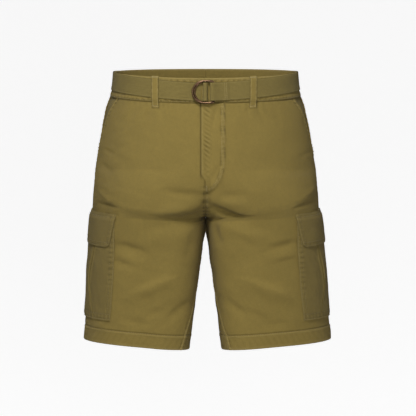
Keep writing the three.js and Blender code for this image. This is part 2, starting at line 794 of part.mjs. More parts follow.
function cargoPocket(side) {
  return wall(side, POCKET_COLUMNS, POCKET_ROWS, (column, z) => {
    const open = pleatOpening(z);
    const pleat = PLEAT_AT + column.pleats * mix(PLEAT_CLOSED, PLEAT_OPEN, open);
    const forward = column.pleats === undefined ? column.forward : pleat;
    const edge = Math.min(POCKET_FRONT - forward, forward - POCKET_BACK, z - POCKET_BOTTOM, POCKET_TOP - z);
    const full = mix(POCKET_TOP_LIFT, POCKET_MIDDLE_LIFT, open);
    const body = mix(POCKET_EDGE_LIFT, full, ease(0, POCKET_SHOULDER, edge));
    const lift = column.sunk ? POCKET_EDGE_LIFT : body + (column.roll ?? 0) * open;
    return { ...legSpot(side, z, forward), lift, thick: CLOTH };
  });
}

function cargoFlap(side) {
  return wall(side, steps(0, 1, 10), FLAP_ROWS, (u, t) => {
    const margin = FLAP_TOP_MARGIN - FLAP_TAPER * t;
    const forward = mix(POCKET_FRONT + margin, POCKET_BACK - margin, u);
    const shoulder = mix(FLAP_TOP_LIFT, FLAP_SHOULDER_LIFT, ease(0, FLAP_SHOULDER_AT, t));
    const lift = shoulder + FLAP_FLARE * t;
    return { ...legSpot(side, FLAP_TOP - FLAP_HEIGHT * t, forward), lift, thick: CLOTH };
  });
}

const PARTS = new THREE.Group();

function material(colour, roughness, metalness = 0) {
  return new THREE.MeshStandardMaterial({ color: colour, roughness, metalness });
}

function addPart(name, geometry, finish) {
  const mesh = new THREE.Mesh(geometry, finish);
  mesh.name = name;
  PARTS.add(mesh);
}

const twill = () => material(0x857340, 0.9);
const webbing = () => material(0x7f6f3b, 0.92);
const pocketTwill = () => material(0x7a693a, 0.9);
const bronze = () => material(0x6b4a33, 0.38, 0.9);
const zipTape = () => material(0x6e6036, 0.85);

const SIDES = [
  { word: 'left', side: 1 },
  { word: 'right', side: -1 },
];

for (const { word, side } of SIDES) {
  addPart(`front_${word}`, frontPanel(side), twill());
  addPart(`back_${word}`, backPanel(side), twill());
  addPart(`pocket_facing_${word}`, pocketFacing(side), twill());
  addPart(`waistband_${word}`, waistbandHalf(side), twill());
}
for (const { word, side } of SIDES) {
  addPart(`cargo_pocket_${word}`, cargoPocket(side), pocketTwill());
  addPart(`cargo_flap_${word}`, cargoFlap(side), pocketTwill());
}
for (const loop of LOOPS) addPart(loop.name, beltLoop(loop), twill());
addPart('fly_zip', flyZip(), zipTape());
addPart('belt_strap', beltStrap(), webbing());
addPart('belt_tongue', beltTongue(), webbing());
for (const ring of RINGS) addPart(ring.name, dRing(ring), bronze());

export default PARTS;
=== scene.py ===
# %% [markdown]
# # Cargo shorts in olive twill
# The solids of the shorts come from the CAD model as a fixed frame. This lesson dresses them: each cut
# piece of cloth becomes a thin sheet that follows the same surface as its solid, with its folds, its
# puckered seams and its stitches, and each finish is mixed from shader nodes.

# %% Load the frame
import bpy
import numpy as np
import json
from math import pi, radians
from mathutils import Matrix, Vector

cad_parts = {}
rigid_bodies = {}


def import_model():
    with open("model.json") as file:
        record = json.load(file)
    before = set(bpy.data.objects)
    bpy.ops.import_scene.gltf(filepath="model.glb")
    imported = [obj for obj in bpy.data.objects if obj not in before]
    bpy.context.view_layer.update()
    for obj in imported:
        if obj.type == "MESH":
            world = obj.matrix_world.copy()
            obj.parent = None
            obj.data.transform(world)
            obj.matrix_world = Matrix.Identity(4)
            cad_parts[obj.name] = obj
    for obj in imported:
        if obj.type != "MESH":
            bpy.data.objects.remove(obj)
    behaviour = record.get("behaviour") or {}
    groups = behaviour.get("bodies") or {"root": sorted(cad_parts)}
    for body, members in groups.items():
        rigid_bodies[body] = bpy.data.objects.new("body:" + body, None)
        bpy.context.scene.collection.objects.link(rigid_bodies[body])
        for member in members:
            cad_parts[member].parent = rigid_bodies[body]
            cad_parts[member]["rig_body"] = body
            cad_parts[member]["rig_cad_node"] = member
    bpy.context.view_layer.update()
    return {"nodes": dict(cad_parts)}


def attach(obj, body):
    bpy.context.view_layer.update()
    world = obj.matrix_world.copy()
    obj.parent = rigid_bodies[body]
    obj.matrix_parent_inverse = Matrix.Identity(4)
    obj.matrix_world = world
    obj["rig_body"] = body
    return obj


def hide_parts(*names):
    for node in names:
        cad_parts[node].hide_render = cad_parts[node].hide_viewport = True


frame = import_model()

MM = 0.001
SIDES = {"left": 1, "right": -1}

# %% [markdown]
# ## Camera
# The picture is taken from far off with a long lens, from a little above the middle of the shorts. A
# long lens keeps the legs parallel, so the camera stands five metres away.

# %% Camera
CAMERA_DISTANCE = 5.0
CAMERA_RISE = radians(5.5)
LOOKED_AT = Vector((0.0046, 0.0, -0.25))


def add_camera():
    back = Vector((0, -np.cos(CAMERA_RISE), np.sin(CAMERA_RISE)))
    camera = bpy.data.objects.new("camera", bpy.data.cameras.new("camera"))
    camera.data.lens = 234.5
    camera.data.sensor_width = 36
    camera.location = LOOKED_AT + back * CAMERA_DISTANCE
    camera.rotation_euler = (-back).to_track_quat("-Z", "Y").to_euler()
    bpy.context.scene.collection.objects.link(camera)
    bpy.context.scene.camera = camera
    print("camera at", [round(v, 3) for v in camera.location])


add_camera()

# %% [markdown]
# ## Light and floor
# Clothes are shot for a catalogue under soft light on a white sweep. A pale world gives an even fill, a
# panel high in front gives the folds their shade, a larger one further off lifts the front, and the floor
# is a wide sheet that curves up behind.

# %% Light and floor
PAPER_GLOW = 0.7


def add_panel_light(name, place, size, power):
    light = bpy.data.lights.new(name, "AREA")
    light.shape = "DISK"
    light.size = size
    light.energy = power
    lamp = bpy.data.objects.new(name, light)
    lamp.location = place
    lamp.rotation_euler = (LOOKED_AT - Vector(place)).to_track_quat("-Z", "Y").to_euler()
    bpy.context.scene.collection.objects.link(lamp)


def add_world(strength):
    world = bpy.data.worlds.new("studio")
    world.use_nodes = True
    sky = world.node_tree.nodes["Background"]
    sky.inputs["Color"].default_value = (1, 1, 1, 1)
    sky.inputs["Strength"].default_value = strength
    bpy.context.scene.world = world


def add_floor():
    bpy.ops.object.select_all(action="DESELECT")
    bpy.ops.mesh.primitive_grid_add(x_subdivisions=2, y_subdivisions=48, size=1)
    floor = bpy.context.object
    floor.name = "floor"
    for corner in floor.data.vertices:
        run = corner.co.y + 0.5
        bend = min(1, max(0, (run - 0.5) / 0.2)) * pi / 2
        flat, up = -9 + 20 * min(run, 0.5), 40 * max(0, run - 0.7)
        corner.co = (corner.co.x * 30, flat + 4 * np.sin(bend), -1.1 + 4 * (1 - np.cos(bend)) + up)
    bpy.ops.object.shade_smooth()
    paper = bpy.data.materials.new("white_paper")
    paper.use_nodes = True
    shader = paper.node_tree.nodes["Principled BSDF"]
    shader.inputs["Base Color"].default_value = (0.8, 0.8, 0.8, 1)
    shader.inputs["Roughness"].default_value = 0.9
    shader.inputs["Emission Color"].default_value = (1, 1, 1, 1)
    sight = paper.node_tree.nodes.new("ShaderNodeLightPath")
    glow = paper.node_tree.nodes.new("ShaderNodeMath")
    glow.operation = "MULTIPLY"
    glow.inputs[1].default_value = PAPER_GLOW
    paper.node_tree.links.new(sight.outputs["Is Camera Ray"], glow.inputs[0])
    paper.node_tree.links.new(glow.outputs[0], shader.inputs["Emission Strength"])
    floor.data.materials.append(paper)
    print("floor has", len(floor.data.polygons), "faces")


bpy.context.scene.view_settings.view_transform = "Standard"
add_world(0.21)
add_panel_light("key", (-0.22, -1.2, 1.05), 0.45, 22)
add_panel_light("front", (0.15, -2.6, 0.1), 1.0, 17)
add_floor()

# %% [markdown]
# ## The surface that the cloth follows
# A filled-out pair of shorts is an oval tube that splits in two. The oval's width and depth change from
# the waist down, so they are kept in a short table, and the same formulas as in the CAD source turn it
# into a surface. A place on it has two numbers: s runs round one half, from the centre front or the
# inseam (0) by the side (1) to the centre back (2), and r runs down it: the waistband (0 to 1), the hips
# (1 to 2), the rise curve (2 to 3) and the leg (3 to 4). All sizes here are in millimetres.

# %% Sizes of the garment
HALF_GAP, GAP, STEP = 0.15, 0.3, 0.01
BAND_HEIGHT, BAND_FRONT_DIP = 43, 6
HIP_FRONT, HIP_BACK, HIP_SIDE = -168, -192, -175
CROTCH, CROTCH_SIDE = -262, -252
HEM_INNER, HEM_OUTER, HEM_FRONT_LIFT, HEM_DEPTH = -508.5, -492.5, 5, 25
TORSO_ROUNDNESS, LEG_ROUNDNESS, FORK_ROUNDNESS = 2.3, 2.2, 3.6

SECTION_ROWS = [
    # height, outer edge, inner edge, depth before, depth behind, side's set-back, sway of the left leg
    (8, 166.5, 0, 116, 118, 0, 0),
    (0, 167, 0, 117, 119, 0, 0),
    (-25, 169.5, 0, 119, 122, 0, 0),
    (-43, 174.5, 0, 121, 125, 1, 0),
    (-65, 182.8, 0, 123.5, 129, 3, 0),
    (-90, 188, 0, 126, 133, 5, 0),
    (-125, 194.6, 0, 128.5, 137, 7, 0),
    (-176, 202.6, 0, 129.5, 139.5, 10, 0),
    (-225, 207.2, 0, 126, 132, 12, 0.2),
    (-262, 209.8, 0, 121, 121, 13, 0.5),
    (-270, 210.6, 1, 119.8, 119, 13.5, 0.7),
    (-310, 214, 5, 114, 109.5, 14, 1.2),
    (-354, 217.5, 10.3, 108, 101, 15, 1.8),
    (-398, 221, 15.8, 103, 94, 15, 2.4),
    (-443, 225, 21, 98.5, 88, 15, 3),
    (-487, 229, 26.5, 95, 83.5, 15, 3.3),
    (-520, 231, 30.5, 93.5, 81.5, 15, 3.5),
]
SECTIONS = dict(zip(("z", "outer", "inner", "front", "back", "side", "sway"), np.array(SECTION_ROWS, float).T))
# height, and how far forward of the widest point or of the innermost one each seam lies
SIDE_SEAM_ROWS = [(10, 8), (-43, 10), (-152, 15), (-262, 24), (-350, 28), (-520, 28)]
INSEAM_ROWS = [(-262, 0), (-300, 4), (-350, 20), (-415, 47), (-478, 68), (-520, 77)]
SIDE_SEAM = dict(zip(("z", "forward"), np.array(SIDE_SEAM_ROWS, float).T))
INSEAM = dict(zip(("z", "forward"), np.array(INSEAM_ROWS, float).T))
print("sections", len(SECTION_ROWS), "from", SECTION_ROWS[0][0], "to", SECTION_ROWS[-1][0], "mm")

# %% [markdown]
# ### From the table to the surface
# A smooth line through the table's rows gives each size at any height. The cross-section is a rounded
# oval that starts on the middle plane at the waist; as the rise curve turns under, more of the oval is
# used, until it closes into the leg.

# %% Smooth lines and cross-sections
def mix(a, b, t):
    return a + (b - a) * t


def ease(start, end, value):
    t = np.clip((value - start) / (end - start), 0, 1)
    return t * t * (3 - 2 * t)


def turn_ease(t):
    return (1 - np.cos(pi * t)) / 2


def profile(table, key, z):
    z = np.asarray(z, float)
    zs, vs = table["z"], table[key]
    i = np.clip(np.searchsorted(-zs[1:], -z, side="left"), 0, len(zs) - 2)
    before, after = np.maximum(0, i - 1), np.minimum(len(zs) - 1, i + 2)
    span = zs[i + 1] - zs[i]
    t = np.clip((z - zs[i]) / span, 0, 1)
    slope_a = (vs[i + 1] - vs[before]) / (zs[i + 1] - zs[before]) * span
    slope_b = (vs[after] - vs[i]) / (zs[after] - zs[i]) * span
    return (vs[i] * (2 * t**3 - 3 * t**2 + 1) + slope_a * (t**3 - 2 * t**2 + t)
            + vs[i + 1] * (3 * t**2 - 2 * t**3) + slope_b * (t**3 - t**2))


def superellipse(angle, roundness):
    sin, cos = np.sin(angle), np.cos(angle)
    reach = (np.abs(sin) ** roundness + np.abs(cos) ** roundness) ** (-1 / roundness)
    return sin * reach, cos * reach


def band_top(t, back):
    return np.where(back, 0, -BAND_FRONT_DIP * np.cos(t * pi / 2) ** 2)


def height(t, back, r):
    out, top = turn_ease(t), band_top(t, back)
    hip = mix(np.where(back, HIP_BACK, HIP_FRONT), HIP_SIDE, out)
    fork = np.clip(r - 2, 0, 1)
    under = superellipse(fork * pi / 2, mix(TORSO_ROUNDNESS, FORK_ROUNDNESS, fork))[0]
    rise_in = mix(np.where(back, HIP_BACK, HIP_FRONT), CROTCH, under)
    rise = mix(rise_in, mix(HIP_SIDE, CROTCH_SIDE, r - 2), out)
    hem = mix(HEM_INNER, HEM_OUTER, out) + np.where(back, 0, HEM_FRONT_LIFT * np.sin(pi * t))
    leg = mix(mix(CROTCH, CROTCH_SIDE, out), hem, r - 3)
    return np.select([r <= 1, r <= 2, r <= 3], [top - BAND_HEIGHT * r, mix(top - BAND_HEIGHT, hip, r - 1), rise], leg)

# %% Points and normals of the surface
def fold_round(s, r):
    """Brings s into 0 to 2, and says where it has passed the middle onto the other half."""
    s, r = np.broadcast_arrays(np.asarray(s, float), np.asarray(r, float))
    past = ((s < 0) | (s > 2)) & (r <= 3)
    on_leg = np.where(s < 0, s + 2, np.where(s > 2, s - 2, s))
    on_torso = np.where(s < 0, -s, np.where(s > 2, 4 - s, s))
    s = np.where(r > 3, on_leg, on_torso)
    return s, r, past


def drop(s, r):
    s, r, _ = fold_round(s, r)
    back = s > 1
    return height(np.where(back, 2 - s, s), back, r)


def surface(side, s, r):
    s, r, past = fold_round(s, r)
    back = s > 1
    t = np.where(back, 2 - s, s)
    z = height(t, back, r)
    fork = np.clip(r - 2, 0, 1)
    start = fork * pi / 2
    inner_roundness = mix(TORSO_ROUNDNESS, FORK_ROUNDNESS, fork)
    past_middle = superellipse(start, inner_roundness)[0]
    angle = mix(-start, pi / 2, t)
    sin, cos = superellipse(angle, np.where(angle < 0, inner_roundness, mix(TORSO_ROUNDNESS, LEG_ROUNDNESS, fork)))
    inner = profile(SECTIONS, "inner", z)
    outer = profile(SECTIONS, "outer", z) + side * profile(SECTIONS, "sway", z)
    x = inner + (outer - inner) / (1 + past_middle) * (past_middle + sin)
    depth = np.where(back, profile(SECTIONS, "back", z), -profile(SECTIONS, "front", z))
    y = profile(SECTIONS, "side", z) * turn_ease(t) + depth * cos
    x = side * (HALF_GAP + x)
    return np.stack([np.where(past, side * GAP - x, x), y, z], -1)


def unit(v):
    return v / np.maximum(np.linalg.norm(v, axis=-1, keepdims=True), 1e-12)


def plain_normal(side, s, r):
    round_ = surface(side, s + STEP, r) - surface(side, s - STEP, r)
    down = surface(side, s, np.minimum(4, r + STEP)) - surface(side, s, r - STEP)
    return unit(side * np.cross(down, round_))


def normal(side, s, r):
    s, r = np.broadcast_arrays(np.asarray(s, float), np.asarray(r, float))
    n = plain_normal(side, s, r)
    near = np.abs(r - 3) < 2 * STEP
    above = plain_normal(side, s, np.full_like(s, 3 - 2 * STEP))
    blend = unit(above + plain_normal(side, s, np.full_like(s, 3 + 2 * STEP)))
    n = np.where(near[..., None], blend, n)
    corner = near & (np.minimum(s, 2 - s) < STEP)
    return np.where(corner[..., None], unit(np.array([-side, 0.0, -1.0])), n)


def lifted(side, s, r, lift):
    return surface(side, s, r) + normal(side, s, r) * np.asarray(lift, float)[..., None]


def per_mm(side, s, r):
    return 2 * STEP / np.linalg.norm(surface(side, s + STEP, r) - surface(side, s - STEP, r), axis=-1)


def round_from_side(side, r, forward):
    """s at distances (rows by columns) forward of the widest point, at rows r."""
    ss = np.arange(-0.4, 2.4001, 0.01)
    out = np.empty(np.shape(forward))
    for j, rj in enumerate(np.ravel(r)):
        p = surface(side, ss, np.full_like(ss, rj))
        run = np.concatenate([[0], np.cumsum(np.linalg.norm(np.diff(p, axis=0), axis=1))])
        run -= np.interp(1, ss, run)
        out[j] = np.interp(-forward[j], run, ss)
    return out


def across(side, r, x, back=False):
    middle, way = (2, -1) if back else (0, 1)
    x, r = np.broadcast_arrays(np.asarray(x, float), np.asarray(r, float))
    s = middle + way * x * per_mm(side, np.full_like(x, middle), r)
    for _ in range(8):
        s = s + way * (x - side * surface(side, s, r)[..., 0]) * per_mm(side, s, r)
    return s


def row_at(s, z):
    s, z = np.broadcast_arrays(np.asarray(s, float), np.asarray(z, float))
    low, high = np.full_like(s, -0.3), np.full_like(s, 4.0)
    for _ in range(40):
        middle = (low + high) / 2
        above = drop(s, middle) > z
        low, high = np.where(above, middle, low), np.where(above, high, middle)
    return (low + high) / 2


def walk(side, r, start, distance):
    """s at a distance round the cloth from a start; r, start and distance are one number a row."""
    ss = np.arange(-0.8, 0.8001, 0.01)
    out = np.empty(len(r))
    for j, rj in enumerate(r):
        p = surface(side, start[j] + ss, np.full_like(ss, rj))
        run = np.concatenate([[0], np.cumsum(np.linalg.norm(np.diff(p, axis=0), axis=1))])
        run -= np.interp(0, ss, run)
        out[j] = start[j] + np.interp(distance[j], run, ss)
    return out


def inseam(side, r):
    """The inseam swings forward on its way down the leg."""
    r = np.ravel(r)
    forward = profile(INSEAM, "forward", height(np.zeros_like(r), False, r))
    return np.where(r > 3, walk(side, np.maximum(r, 3 + STEP), np.zeros_like(r), forward), 0)


print("crotch at", np.round(surface(1, 0.0, 3.0), 1), "hem at the side", np.round(surface(1, 1.0, 4.0), 1))


# %% [markdown]
# ## Cutting a sheet of cloth
# Each piece is one grid, added as a primitive and then moved point by point onto the surface. Its UV map
# holds the real distances along the cloth in metres, so that the weave keeps its scale and runs with the
# piece. A Solidify modifier then gives the sheet its thickness, inwards, and is applied.

# %% Lay a sheet
def add_grid(name, columns, rows):
    bpy.ops.object.select_all(action="DESELECT")
    bpy.ops.mesh.primitive_grid_add(x_subdivisions=columns - 1, y_subdivisions=rows - 1, size=1)
    sheet = bpy.context.object
    sheet.name = sheet.data.name = name
    return sheet


def lay_cloth(name, points, outward, thick, wear_and_painted_light=0):
    """A sheet through points (rows, columns, 3), its outer face towards outward."""
    rows, columns = points.shape[:2]
    sheet = add_grid(name, columns, rows)
    mesh = sheet.data
    at = np.empty(len(mesh.vertices) * 3)
    mesh.vertices.foreach_get("co", at)
    at = at.reshape(-1, 3)
    i = np.rint((at[:, 0] + 0.5) * (columns - 1)).astype(int)
    j = np.rint((0.5 - at[:, 1]) * (rows - 1)).astype(int)
    mesh.vertices.foreach_set("co", (points[j, i] * MM).ravel())
    run_across = np.linalg.norm(np.diff(points, axis=1), axis=-1)
    run_down = np.linalg.norm(np.diff(points, axis=0), axis=-1)
    u = np.pad(np.cumsum(run_across, axis=1), ((0, 0), (1, 0)))
    v = np.pad(np.cumsum(run_down, axis=0), ((1, 0), (0, 0)))
    corner = np.empty(len(mesh.loops), int)
    mesh.loops.foreach_get("vertex_index", corner)
    uv = np.stack([u[j, i], v[j, i]], -1) * MM
    mesh.uv_layers[0].data.foreach_set("uv", uv[corner].ravel())
    # A value per point that tints the finish: above zero paler, as worn cloth and painted highlight; below zero
    # darker, as painted shade.
    tint = mesh.attributes.new("wear_and_painted_light", "FLOAT", "POINT")
    tint.data.foreach_set("value", np.broadcast_to(wear_and_painted_light, points.shape[:2])[j, i].astype(float))
    mesh.update()
    facing = np.empty(len(mesh.polygons) * 3)
    mesh.polygons.foreach_get("normal", facing)
    first = np.array([face.vertices[0] for face in mesh.polygons])
    if (facing.reshape(-1, 3) * outward[j, i][first]).sum() < 0:
        mesh.flip_normals()
    wall = sheet.modifiers.new("wall", "SOLIDIFY")
    wall.thickness = thick * MM
    wall.offset = -1
    bpy.ops.object.modifier_apply(modifier="wall")
    bpy.ops.object.shade_smooth_by_angle(angle=radians(50))
    print(name, "cut about", round(float(u[:, -1].max())), "x", round(float(v[-1].max())), "mm, area",
          round(float(cloth_area(points)) / 1e6, 4), "m2")
    return sheet


def cloth_area(points):
    across_, down = points[:, 1:] - points[:, :-1], points[1:] - points[:-1]
    return np.linalg.norm(np.cross(across_[:-1], down[:, :-1]), axis=-1).sum()


def spaced(*stretches):
    """Places along an edge: each stretch is its start, its end and the step between places."""
    places = [np.linspace(a, b, max(1, round(abs(b - a) / step)), endpoint=False) for a, b, step in stretches]
    return np.concatenate([*places, [stretches[-1][1]]])


def grow(points):
    """Unit normals of a grid of points, by its own rows and columns."""
    return unit(np.cross(np.gradient(points, axis=1), np.gradient(points, axis=0)))


# %% [markdown]
# ## Thread
# Every seam is sewn with a lockstitch of about three to the centimetre. One stitch is modelled, a small
# rounded lozenge of thread, and its points are then repeated along each seam into one mesh per piece.

# %% One stitch, and rows of it
STITCH_PITCH = 3.1
STITCH_SIZE = (2.45, 0.62, 0.5)


def model_stitch():
    bpy.ops.object.select_all(action="DESELECT")
    bpy.ops.mesh.primitive_uv_sphere_add(segments=6, ring_count=4, radius=0.5)
    stitch = bpy.context.object
    bpy.ops.object.mode_set(mode="EDIT")
    bpy.ops.mesh.select_all(action="SELECT")
    bpy.ops.transform.rotate(value=pi / 2, orient_axis="Y", center_override=(0, 0, 0))
    bpy.ops.transform.resize(value=STITCH_SIZE, center_override=(0, 0, 0))
    bpy.ops.mesh.normals_make_consistent(inside=False)
    bpy.ops.object.mode_set(mode="OBJECT")
    points = np.array([v.co for v in stitch.data.vertices])
    faces = [tuple(face.vertices) for face in stitch.data.polygons]
    bpy.data.objects.remove(stitch)
    return points, faces


STITCH_POINTS, STITCH_FACES = model_stitch()


def seam_row(points, outward, pitch=STITCH_PITCH, slant=0):
    """Centres, directions and outward normals of the stitches along a line of points."""
    run = np.concatenate([[0], np.cumsum(np.linalg.norm(np.diff(points, axis=0), axis=1))])
    count = max(2, int(run[-1] / pitch))
    at = (np.arange(count) + 0.5) * run[-1] / count

    def along(places):
        return np.stack([np.interp(places, run, points[:, k]) for k in range(3)], -1)

    out = unit(np.stack([np.interp(at, run, outward[:, k]) for k in range(3)], -1))
    way = unit(along(at + 0.4) - along(at - 0.4))
    way = unit(way + slant * np.cross(out, way))
    return along(at) + 0.1 * out, way, out


def sew(name, rows):
    """One mesh with a stitch at every place of the rows."""
    centre, way, out = (np.concatenate(part) for part in zip(*rows))
    side_way = np.cross(out, way)
    points = (centre[:, None] + STITCH_POINTS[None, :, :1] * way[:, None]
              + STITCH_POINTS[None, :, 1:2] * side_way[:, None] + STITCH_POINTS[None, :, 2:] * out[:, None])
    count, size = len(centre), len(STITCH_POINTS)
    faces = [tuple(k * size + corner for corner in face) for k in range(count) for face in STITCH_FACES]
    mesh = bpy.data.meshes.new(name)
    mesh.from_pydata((points.reshape(-1, 3) * MM).tolist(), [], faces)
    thread = bpy.data.objects.new(name, mesh)
    bpy.context.scene.collection.objects.link(thread)
    mesh.shade_smooth()
    print(name, count, "stitches")
    return thread


# %% [markdown]
# ## Folds
# Worn twill holds soft folds that fan out from the crotch, cross the thighs and lie above the pocket
# flaps. Each is a row of a table: where it starts and ends in the front or back view, its half width,
# and its height, below zero for a trough. The second width makes one flank steeper than the other, as in
# a real crease.

# %% Tables of folds
# side, seen from the back, x and z of both ends, half width above and below, height
LARGE_FOLDS = [
    (-1, 0, 6, -250, 60, -266, 6, 9, -4.6),
    (-1, 0, 46, -262, 108, -276, 6, 11, -3),
    (-1, 0, 12, -236, 84, -248, 12, 8, 3.4),
    (-1, 0, 30, -282, 96, -292, 14, 14, 2),
    (1, 0, 6, -236, 66, -260, 5, 9, -5.4),
    (1, 0, 46, -254, 112, -276, 6, 12, -3.2),
    (1, 0, 14, -222, 70, -236, 9, 8, 1.8),
    (1, 0, 34, -270, 96, -290, 13, 13, 3.4),
    (1, 0, 8, -256, 27, -302, 4, 6, -2.6),
    (-1, 0, 112, -319, 162, -307, 7, 12, -3),
    (-1, 0, 66, -370, 132, -399, 7, 14, 2.8),
    (-1, 0, 32, -416, 70, -446, 8, 11, -2),
    (1, 0, 118, -315, 164, -303, 7, 12, -3),
    (1, 0, 76, -372, 142, -399, 7, 14, 2.8),
    (1, 0, 36, -410, 74, -440, 8, 11, -1.8),
    (1, 1, 12, -236, 84, -262, 8, 11, -3),
    (-1, 1, 14, -240, 90, -262, 8, 11, -2.6),
    (1, 1, 40, -290, 118, -306, 9, 12, -2.2),
    (-1, 1, 34, -296, 108, -318, 9, 12, -2.4),
    (1, 1, 60, -372, 130, -392, 13, 10, 1.8),
    (-1, 1, 70, -366, 138, -390, 13, 10, 1.6),
]
SMALL_FOLDS = [
    (-1, 0, 73, -208, 12, -216, 6, 8, -1.7),
    (1, 0, 70, -212, 20, -222, 6, 8, -1.1),
    (1, 0, 21, -58, 10, -100, 3.2, 4.5, -0.9),
    (1, 0, 10, -100, 0, -124, 3, 4, -0.7),
    (1, 0, 11, -104, 11, -192, 3.5, 5, -0.8),
    (1, 0, 26, -160, 11, -188, 4, 5, -1.2),
    (-1, 0, 8, -60, 16, -104, 4, 5, -0.5),
    (-1, 0, 12, -120, 18, -190, 6, 7, -0.7),
    (-1, 0, 185, -136, 168, -144, 3.5, 5, -0.9),
    (-1, 0, 190, -164, 172, -176, 4, 6, -0.8),
    (-1, 0, 196, -214, 170, -228, 4, 6, 1.3),
    (-1, 0, 194, -236, 160, -240, 4, 5, -1.8),
    (1, 0, 190, -142, 172, -150, 3.5, 5, -0.8),
    (1, 0, 197, -210, 174, -224, 4, 6, 1.1),
    (1, 0, 196, -234, 164, -241, 4, 5, -1.7),
    (-1, 0, 96, -52, 108, -78, 4, 5, -0.9),
    (-1, 0, 84, -52, 78, -70, 3, 4, -0.6),
    (1, 0, 94, -52, 104, -80, 4, 5, -0.8),
    (1, 0, 80, -52, 74, -68, 3, 4, -0.6),
    (-1, 0, 128, -52, 136, -84, 5, 6, -0.7),
    (1, 0, 126, -52, 132, -80, 5, 6, -0.6),
    (-1, 0, 30, -270, 70, -292, 6, 9, -1.2),
    (1, 0, 36, -276, 76, -300, 6, 9, -1.1),
    (-1, 0, 22, -286, 34, -330, 5, 8, -1.2),
    (-1, 0, 132, -346, 164, -338, 5, 8, -1),
    (1, 0, 128, -340, 162, -334, 5, 8, -0.9),
    (-1, 0, 60, -420, 104, -438, 7, 9, -1),
    (1, 0, 66, -424, 112, -444, 7, 9, -1),
    (-1, 0, 112, -452, 150, -446, 5, 7, -0.8),
    (1, 0, 110, -456, 146, -450, 5, 7, -0.7),
    (1, 1, 10, -214, 60, -226, 6, 8, -1.5),
    (-1, 1, 12, -218, 64, -232, 6, 8, -1.3),
    (1, 1, 24, -268, 58, -300, 6, 8, -1.3),
    (-1, 1, 20, -270, 50, -306, 6, 8, -1.4),
    (1, 1, 96, -56, 112, -84, 5, 6, -0.8),
    (-1, 1, 94, -56, 106, -88, 5, 6, -0.8),
    (1, 1, 20, -58, 26, -92, 5, 6, -0.6),
    (-1, 1, 22, -56, 30, -84, 5, 6, -0.6),
    (1, 1, 130, -140, 172, -150, 6, 8, -0.8),
    (-1, 1, 126, -148, 170, -152, 6, 8, -0.8),
    (1, 1, 60, -330, 120, -344, 7, 10, -1.2),
    (-1, 1, 66, -336, 124, -354, 7, 10, -1.2),
    (1, 1, 90, -430, 150, -446, 7, 9, -1),
    (-1, 1, 84, -424, 146, -440, 7, 9, -1),
]


FOLD_DEPTH = 1.8


def folds(side, back, x, z):
    lift = np.zeros_like(x)
    for of_side, of_back, x1, z1, x2, z2, above, below, high in LARGE_FOLDS + SMALL_FOLDS:
        if of_side != side or of_back != back:
            continue
        dx, dz = x2 - x1, z2 - z1
        t = np.clip(((x - x1) * dx + (z - z1) * dz) / (dx * dx + dz * dz), 0, 1)
        off_x, off_z = x - x1 - t * dx, z - z1 - t * dz
        flank = np.where(off_z * np.sign(dx or 1) * dx - off_x * dz > 0, above, below)
        away = np.hypot(off_x, off_z) / flank
        lift += FOLD_DEPTH * high * np.exp(-away * away) * mix(0.3, 1, np.sin(pi * mix(0.08, 0.92, t)))
    return lift * ease(3, 12, x)


def cockle(x, z, seed):
    """The uneven lie of washed cloth: a few slow waves that never line up."""
    lift = np.zeros_like(x)
    for k, (wave, high) in enumerate([(61, 0.32), (37, 0.2), (23, 0.12), (14.5, 0.07)]):
        turn = 1.3 + 2.4 * k + seed
        lift += high * np.sin(2 * pi * (x * np.cos(turn) + z * np.sin(turn)) / wave + 5 * k + seed)
    return lift


def pucker(run, inset, high, pitch=8.5, reach=4.5, seed=0):
    """Small waves that a row of stitches draws up beside it."""
    wander = np.sin(run / 23 + seed) + 0.6 * np.sin(run / 9.1 + 2 * seed)
    return 2.1 * high * np.sin(2 * pi * run / pitch + 1.4 * wander) * np.exp(-((inset / reach) ** 2))


def furrow(distance, deep=0.5, wide=0.9):
    return -deep * np.exp(-((distance / wide) ** 2))


def ridge(distance, high, wide=1.8):
    return high * np.exp(-((distance / wide) ** 2))


print("folds", len(LARGE_FOLDS), "large and", len(SMALL_FOLDS), "small")

# %% [markdown]
# ## Rows and columns of a panel
# The grid of a panel is fine beside its edges, where seams and stitches lie, and wider between. Distances
# from both edges are kept for every point, so that a seam's ridge, its furrows and its puckers can follow
# the edge, and a row of stitches can be laid on the finished cloth.

# %% Panel helpers
NEAR_EDGE = np.array([0, 0.7, 1.4, 2.1, 3, 4, 5, 6, 7, 8, 9, 10.2, 12, 14])
SEAM_ROW = 1 + GAP / (-BAND_HEIGHT - HIP_SIDE)
HEM_ROW = 4 - HEM_DEPTH / (CROTCH_SIDE - HEM_OUTER)
LEG_LENGTH = CROTCH_SIDE - HEM_OUTER
CLOTH_THICK = 1.2


def panel_columns(side, r, first, last, middle):
    """s, and the distances from both edges, on rows r between first and last."""
    s, near, far = [], [], []
    for rj, a, b in zip(r, first, last):
        ss = np.linspace(a, b, 260)
        p = surface(side, ss, np.full_like(ss, rj))
        run = np.concatenate([[0], np.cumsum(np.linalg.norm(np.diff(p, axis=0), axis=1))])
        between = np.linspace(NEAR_EDGE[-1], run[-1] - NEAR_EDGE[-1], middle + 2)[1:-1]
        places = np.concatenate([NEAR_EDGE, between, run[-1] - NEAR_EDGE[::-1]])
        s.append(np.interp(places, run, ss))
        near.append(places)
        far.append(run[-1] - places)
    return np.array(s), np.array(near), np.array(far)


